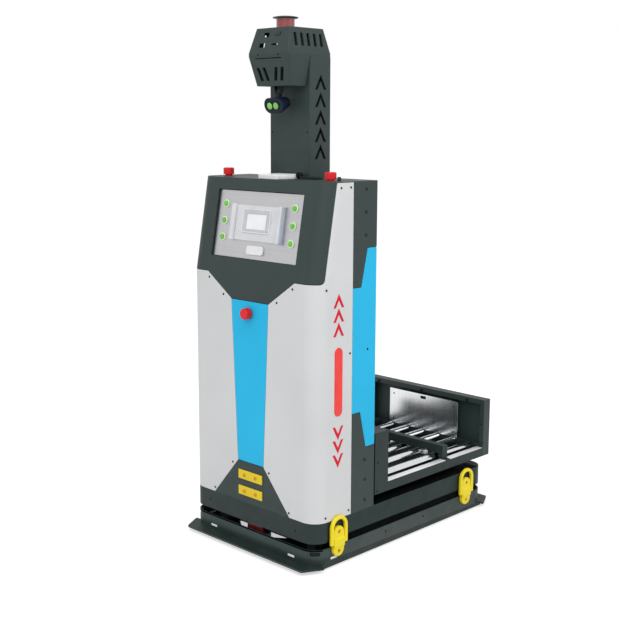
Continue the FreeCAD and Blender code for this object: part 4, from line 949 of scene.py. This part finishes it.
lampY = headBox[0].y + headFace["run"] * (headLamp["z"] - headFace["bandTop"]) / headFace["rise"]
lampUp = (0, math.sin(frontSlant), math.cos(frontSlant))
lampPlace = panelAt((headLamp["x"], lampY, headLamp["z"]), right, lampUp)
fitBlock("headLamp", headLamp, [lampPlace], "black_plastic")
print("head and top fittings made")


# Operator panel, drawn on the leaning face

panelFace = {"run": 0.060, "rise": 0.336}
panelFoot = Vector((0, frontY, cabTop - panelFace["rise"]))
panelLean = math.atan2(panelFace["run"], panelFace["rise"])
panelUp = Vector((0, math.sin(panelLean), math.cos(panelLean)))
panelOut = right.cross(panelUp)


def onPanel(x, v, level):
    return panelAt(panelFoot + right * x + panelUp * v + panelOut * level, right, panelUp)


def panelLevel(point):
    return (point - panelFoot).dot(panelOut)


# painted shade: a black frame where the plate meets the hood's opening
shadeFrame = {"half": 0.2183, "low": 0.0572, "high": 0.2992, "cut": 0.0036, "width": 0.0022, "level": -0.01,
          "thick": 0.0016}


def clipped(inset):
    # rectangle with its corners cut off
    cut = shadeFrame["cut"]
    half = shadeFrame["half"] - inset
    low = shadeFrame["low"] + inset
    high = shadeFrame["high"] - inset
    return [(-half + cut, low), (half - cut, low), (half, low + cut), (half, high - cut), (half - cut, high),
            (-half + cut, high), (-half, high - cut), (-half, low + cut)]


shadeFrameMesh = ringMesh("panelGasket", (clipped(0), clipped(shadeFrame["width"])), shadeFrame["thick"])
scatter("panelGasket", shadeFrameMesh, [onPanel(0, 0, shadeFrame["level"])], *edging)

band = {"half": 0.0672, "low": 0.1548, "high": 0.2312, "level": -0.0005, "thick": 0.0007,
        "windowHalf": 0.0494, "windowLow": 0.1631, "windowHigh": 0.2179}
bandLoops = (rectangle(band["half"], band["low"], band["high"]),
             rectangle(band["windowHalf"], band["windowLow"], band["windowHigh"]))
bandMesh = ringMesh("displayBand", bandLoops, band["thick"])
scatter("displayBand", bandMesh, [onPanel(0, 0, band["level"])], "silver_plastic", extra["bandGrey"])

# the display's raised rim takes a whiter plastic, and the outer flanks of the grips a darker grey as painted
# shade
panelTones = {"rimLevel": -0.0004, "gripFlank": 0.0048}
retone("hmi_housing", extra["caseWhite"],
       lambda points: min(panelLevel(point) for point in points) > panelTones["rimLevel"])
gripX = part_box("panel_grips")[1].x - panelTones["gripFlank"]
retone("panel_grips", extra["gripShade"], lambda points: all(abs(point.x) > gripX for point in points))

statusLamp = {"x": 0.0585, "v": 0.1592, "dome": [(0, 0.0012), (0.00154, 0.00096), (0.0022, 0), (0, 0)]}
lampMesh = turnedMesh("statusLamp", statusLamp["dome"], steps=20, degrees=60.0)
lampPlace = onPanel(statusLamp["x"], statusLamp["v"], band["level"] + band["thick"])
scatter("statusLamp", lampMesh, [lampPlace], "button_green", extra["lampGreen"])
print("operator panel dressed")


# Back of the cabinet: service door on two hinges with quarter-turn locks

door = {"z": 0.920, "width": 0.450, "length": 0.430, "rise": 0.0024, "round": 0.0009}
doorPlace = panelAt((0, backY - seat, door["z"]), -right, up)
fitBlock("serviceDoor", door, [doorPlace], "dark_paint")

doorLock = {"zs": (0.775, 0.920, 1.065), "inset": 0.022,
            "profile": [(0, 0.0030), (0.0022, 0.0030), (0.0026, 0.0042), (0.0078, 0.0042), (0.0092, 0.0030),
                        (0.0096, 0), (0, 0)]}
lockX = door["width"] / 2 - doorLock["inset"]
places = [at(Vector((lockX, backY + door["rise"] - seat, z)), back) for z in doorLock["zs"]]
scatter("doorLocks", turnedMesh("doorLock", doorLock["profile"], steps=28), places, "black_plastic")

doorHinge = {"zs": (0.790, 1.050), "gap": 0.0032, "out": 0.0026,
             "knuckle": [(0, 0), (0.0036, 0), (0.0042, 0.0006), (0.0042, 0.0176), (0.0036, 0.0182),
                         (0.0036, 0.0188), (0.0042, 0.0194), (0.0042, 0.0364), (0.0036, 0.0370), (0, 0.0370)]}
hingeX = -door["width"] / 2 - doorHinge["gap"]
places = [Matrix.Translation((hingeX, backY + doorHinge["out"], z)) for z in doorHinge["zs"]]
scatter("doorHinges", turnedMesh("doorHinge", doorHinge["knuckle"], steps=20), places, "black_plastic")
print("back of the cabinet made")


# Wheel fittings, each on its own body

hubCap = {"profile": [(0, 0.006), (0.010, 0.0055), (0.0125, 0.0035), (0.0135, 0), (0, 0)]}
casterHub = {"radius": 0.050, "halfWidth": 0.015,
             "ring": [(0.0072, -0.0004), (0.034, -0.0004), (0.034, 0.0004), (0.0325, 0.0009), (0.016, 0.0009),
                      (0.0145, 0.0014), (0.0085, 0.0014), (0.0072, 0.0009), (0.0072, -0.0004)]}
casterNut = {"legOuter": 0.022,
             "profile": [(0, 0), (0.0098, 0), (0.0098, 0.0052), (0.0078, 0.0064), (0.0045, 0.0064),
                         (0.0045, 0.0092), (0.0036, 0.0100), (0, 0.0100)]}
capMesh = turnedMesh("hubCap", hubCap["profile"], steps=28)
hubRing = turnedMesh("hubRing", casterHub["ring"], steps=36)
axleNut = turnedMesh("axleNut", casterNut["profile"], steps=6, degrees=20.0)


def onBothFaces(middle, reach):
    return [at(middle + right * turn * reach, right * turn) for turn in both]


for side, sign in (("left", -1), ("right", 1)):
    wheel = "drive_wheel_" + side
    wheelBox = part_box(wheel)
    outer = max(wheelBox[0].x * sign, wheelBox[1].x * sign) - wheelHub["recess"]
    hubFace = Vector((sign * outer, middleOf(wheelBox).y, middleOf(wheelBox).z))
    bolts = []
    for index in range(wheelHub["bolts"]):
        angle = 2 * math.pi * index / wheelHub["bolts"]
        swing = Vector((0, math.cos(angle), math.sin(angle))) * wheelHub["boltCircle"]
        bolts.append(at(hubFace + swing, right * sign))
    label = side.capitalize()
    scatter("hubBolts" + label, screwMesh(bigScrew), bolts, "zinc_steel", extra["blackOxide"], wheel)
    scatter("hubCap" + label, capMesh, [at(hubFace, right * sign)], "cast_alloy", body=wheel)
    axle = middleOf(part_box("caster_wheel_" + side))
    axle.z = casterHub["radius"]
    scatter("casterHub" + label, hubRing, onBothFaces(axle, casterHub["halfWidth"]), "cast_alloy",
            body="caster_wheel_" + side)
    scatter("casterNuts" + label, axleNut, onBothFaces(axle, casterNut["legOuter"]), "zinc_steel",
            extra["blackOxide"], "caster_fork_" + side)
print("wheel fittings made")


# Studio

studio = {"floorSize": 14.0, "floorSteps": 8, "floorTone": toLinear(212, 212, 212), "floorRough": 0.9,
          "floorLift": 0.55, "skyLight": 0.78, "white": (1, 1, 1, 1),
          "keyPower": 95.0, "keyPlace": (2.2, -3.4, 4.2), "fillPower": 30.0, "fillPlace": (3.6, 1.2, 3.0),
          "lightSize": 4.0, "lightTarget": (0, 0, 0.8)}


def seenDirectly(tree):
    # 1 where the camera, a reflection or a clear piece sees the studio, else 0
    rays = tree.nodes.new("ShaderNodeLightPath")
    seen = rays.outputs["Is Camera Ray"]
    for kind in ("Is Glossy Ray", "Is Transmission Ray"):
        seen = combine(tree, "MAXIMUM", seen, rays.outputs[kind])
    return seen


def makeFloor():
    bm = bmesh.new()
    bmesh.ops.create_grid(bm, x_segments=studio["floorSteps"], y_segments=studio["floorSteps"],
                          size=studio["floorSize"])
    mesh = finishMesh(bm, "studioFloor")
    floor = addObject("studioFloor", mesh)
    look = {"Roughness": studio["floorRough"], "Specular IOR Level": 0.0, "Base Color": studio["floorTone"],
            "Emission Color": studio["white"]}
    finish, tree, shader = startFinish("studioFloor", look)
    lift = between(tree, seenDirectly(tree), 0, 1, 0, studio["floorLift"])
    tree.links.new(lift, shader.inputs["Emission Strength"])
    mesh.materials.append(finish)


def makeSky():
    sky = bpy.data.worlds.new("studioSky")
    bpy.context.scene.world = sky
    sky.use_nodes = True
    tree = sky.node_tree
    glow = tree.nodes["Background"]
    glow.inputs["Color"].default_value = studio["white"]
    light = between(tree, seenDirectly(tree), 0, 1, studio["skyLight"], 1.0)
    tree.links.new(light, glow.inputs["Strength"])


def softLight(name, power, spot):
    lamp = bpy.data.lights.new(name, "AREA")
    lamp.energy = power
    lamp.size = studio["lightSize"]
    light = addObject(name, lamp)
    light.location = spot
    aim = Vector(studio["lightTarget"]) - Vector(spot)
    light.rotation_euler = aim.to_track_quat("-Z", "Y").to_euler()


viewpoint = {"spot": (2.777, -3.013, 1.533), "azimuth": 44.545, "elevation": 9.776, "roll": 0.155,
             "lens": 62.90, "sensor": 36.0, "farthest": 60.0}


def makeCamera():
    turn = math.radians(viewpoint["azimuth"])
    lift = math.radians(viewpoint["elevation"])
    roll = math.radians(viewpoint["roll"])
    level = Vector((math.cos(turn), math.sin(turn), 0))
    away = Vector((math.sin(turn) * math.cos(lift), -math.cos(turn) * math.cos(lift), math.sin(lift)))
    upright = away.cross(level)
    across = level * math.cos(roll) + upright * math.sin(roll)
    upward = upright * math.cos(roll) - level * math.sin(roll)
    data = bpy.data.cameras.new("photoCamera")
    data.lens = viewpoint["lens"]
    data.sensor_width = viewpoint["sensor"]
    data.clip_end = viewpoint["farthest"]
    camera = addObject("photoCamera", data)
    axes = Matrix((across, upward, away)).transposed().to_4x4()
    camera.matrix_world = Matrix.Translation(viewpoint["spot"]) @ axes
    bpy.context.scene.camera = camera


makeFloor()
makeSky()
softLight("keyLight", studio["keyPower"], studio["keyPlace"])
softLight("fillLight", studio["fillPower"], studio["fillPlace"])
makeCamera()
bpy.context.scene.view_settings.view_transform = "Standard"
print("studio ready")
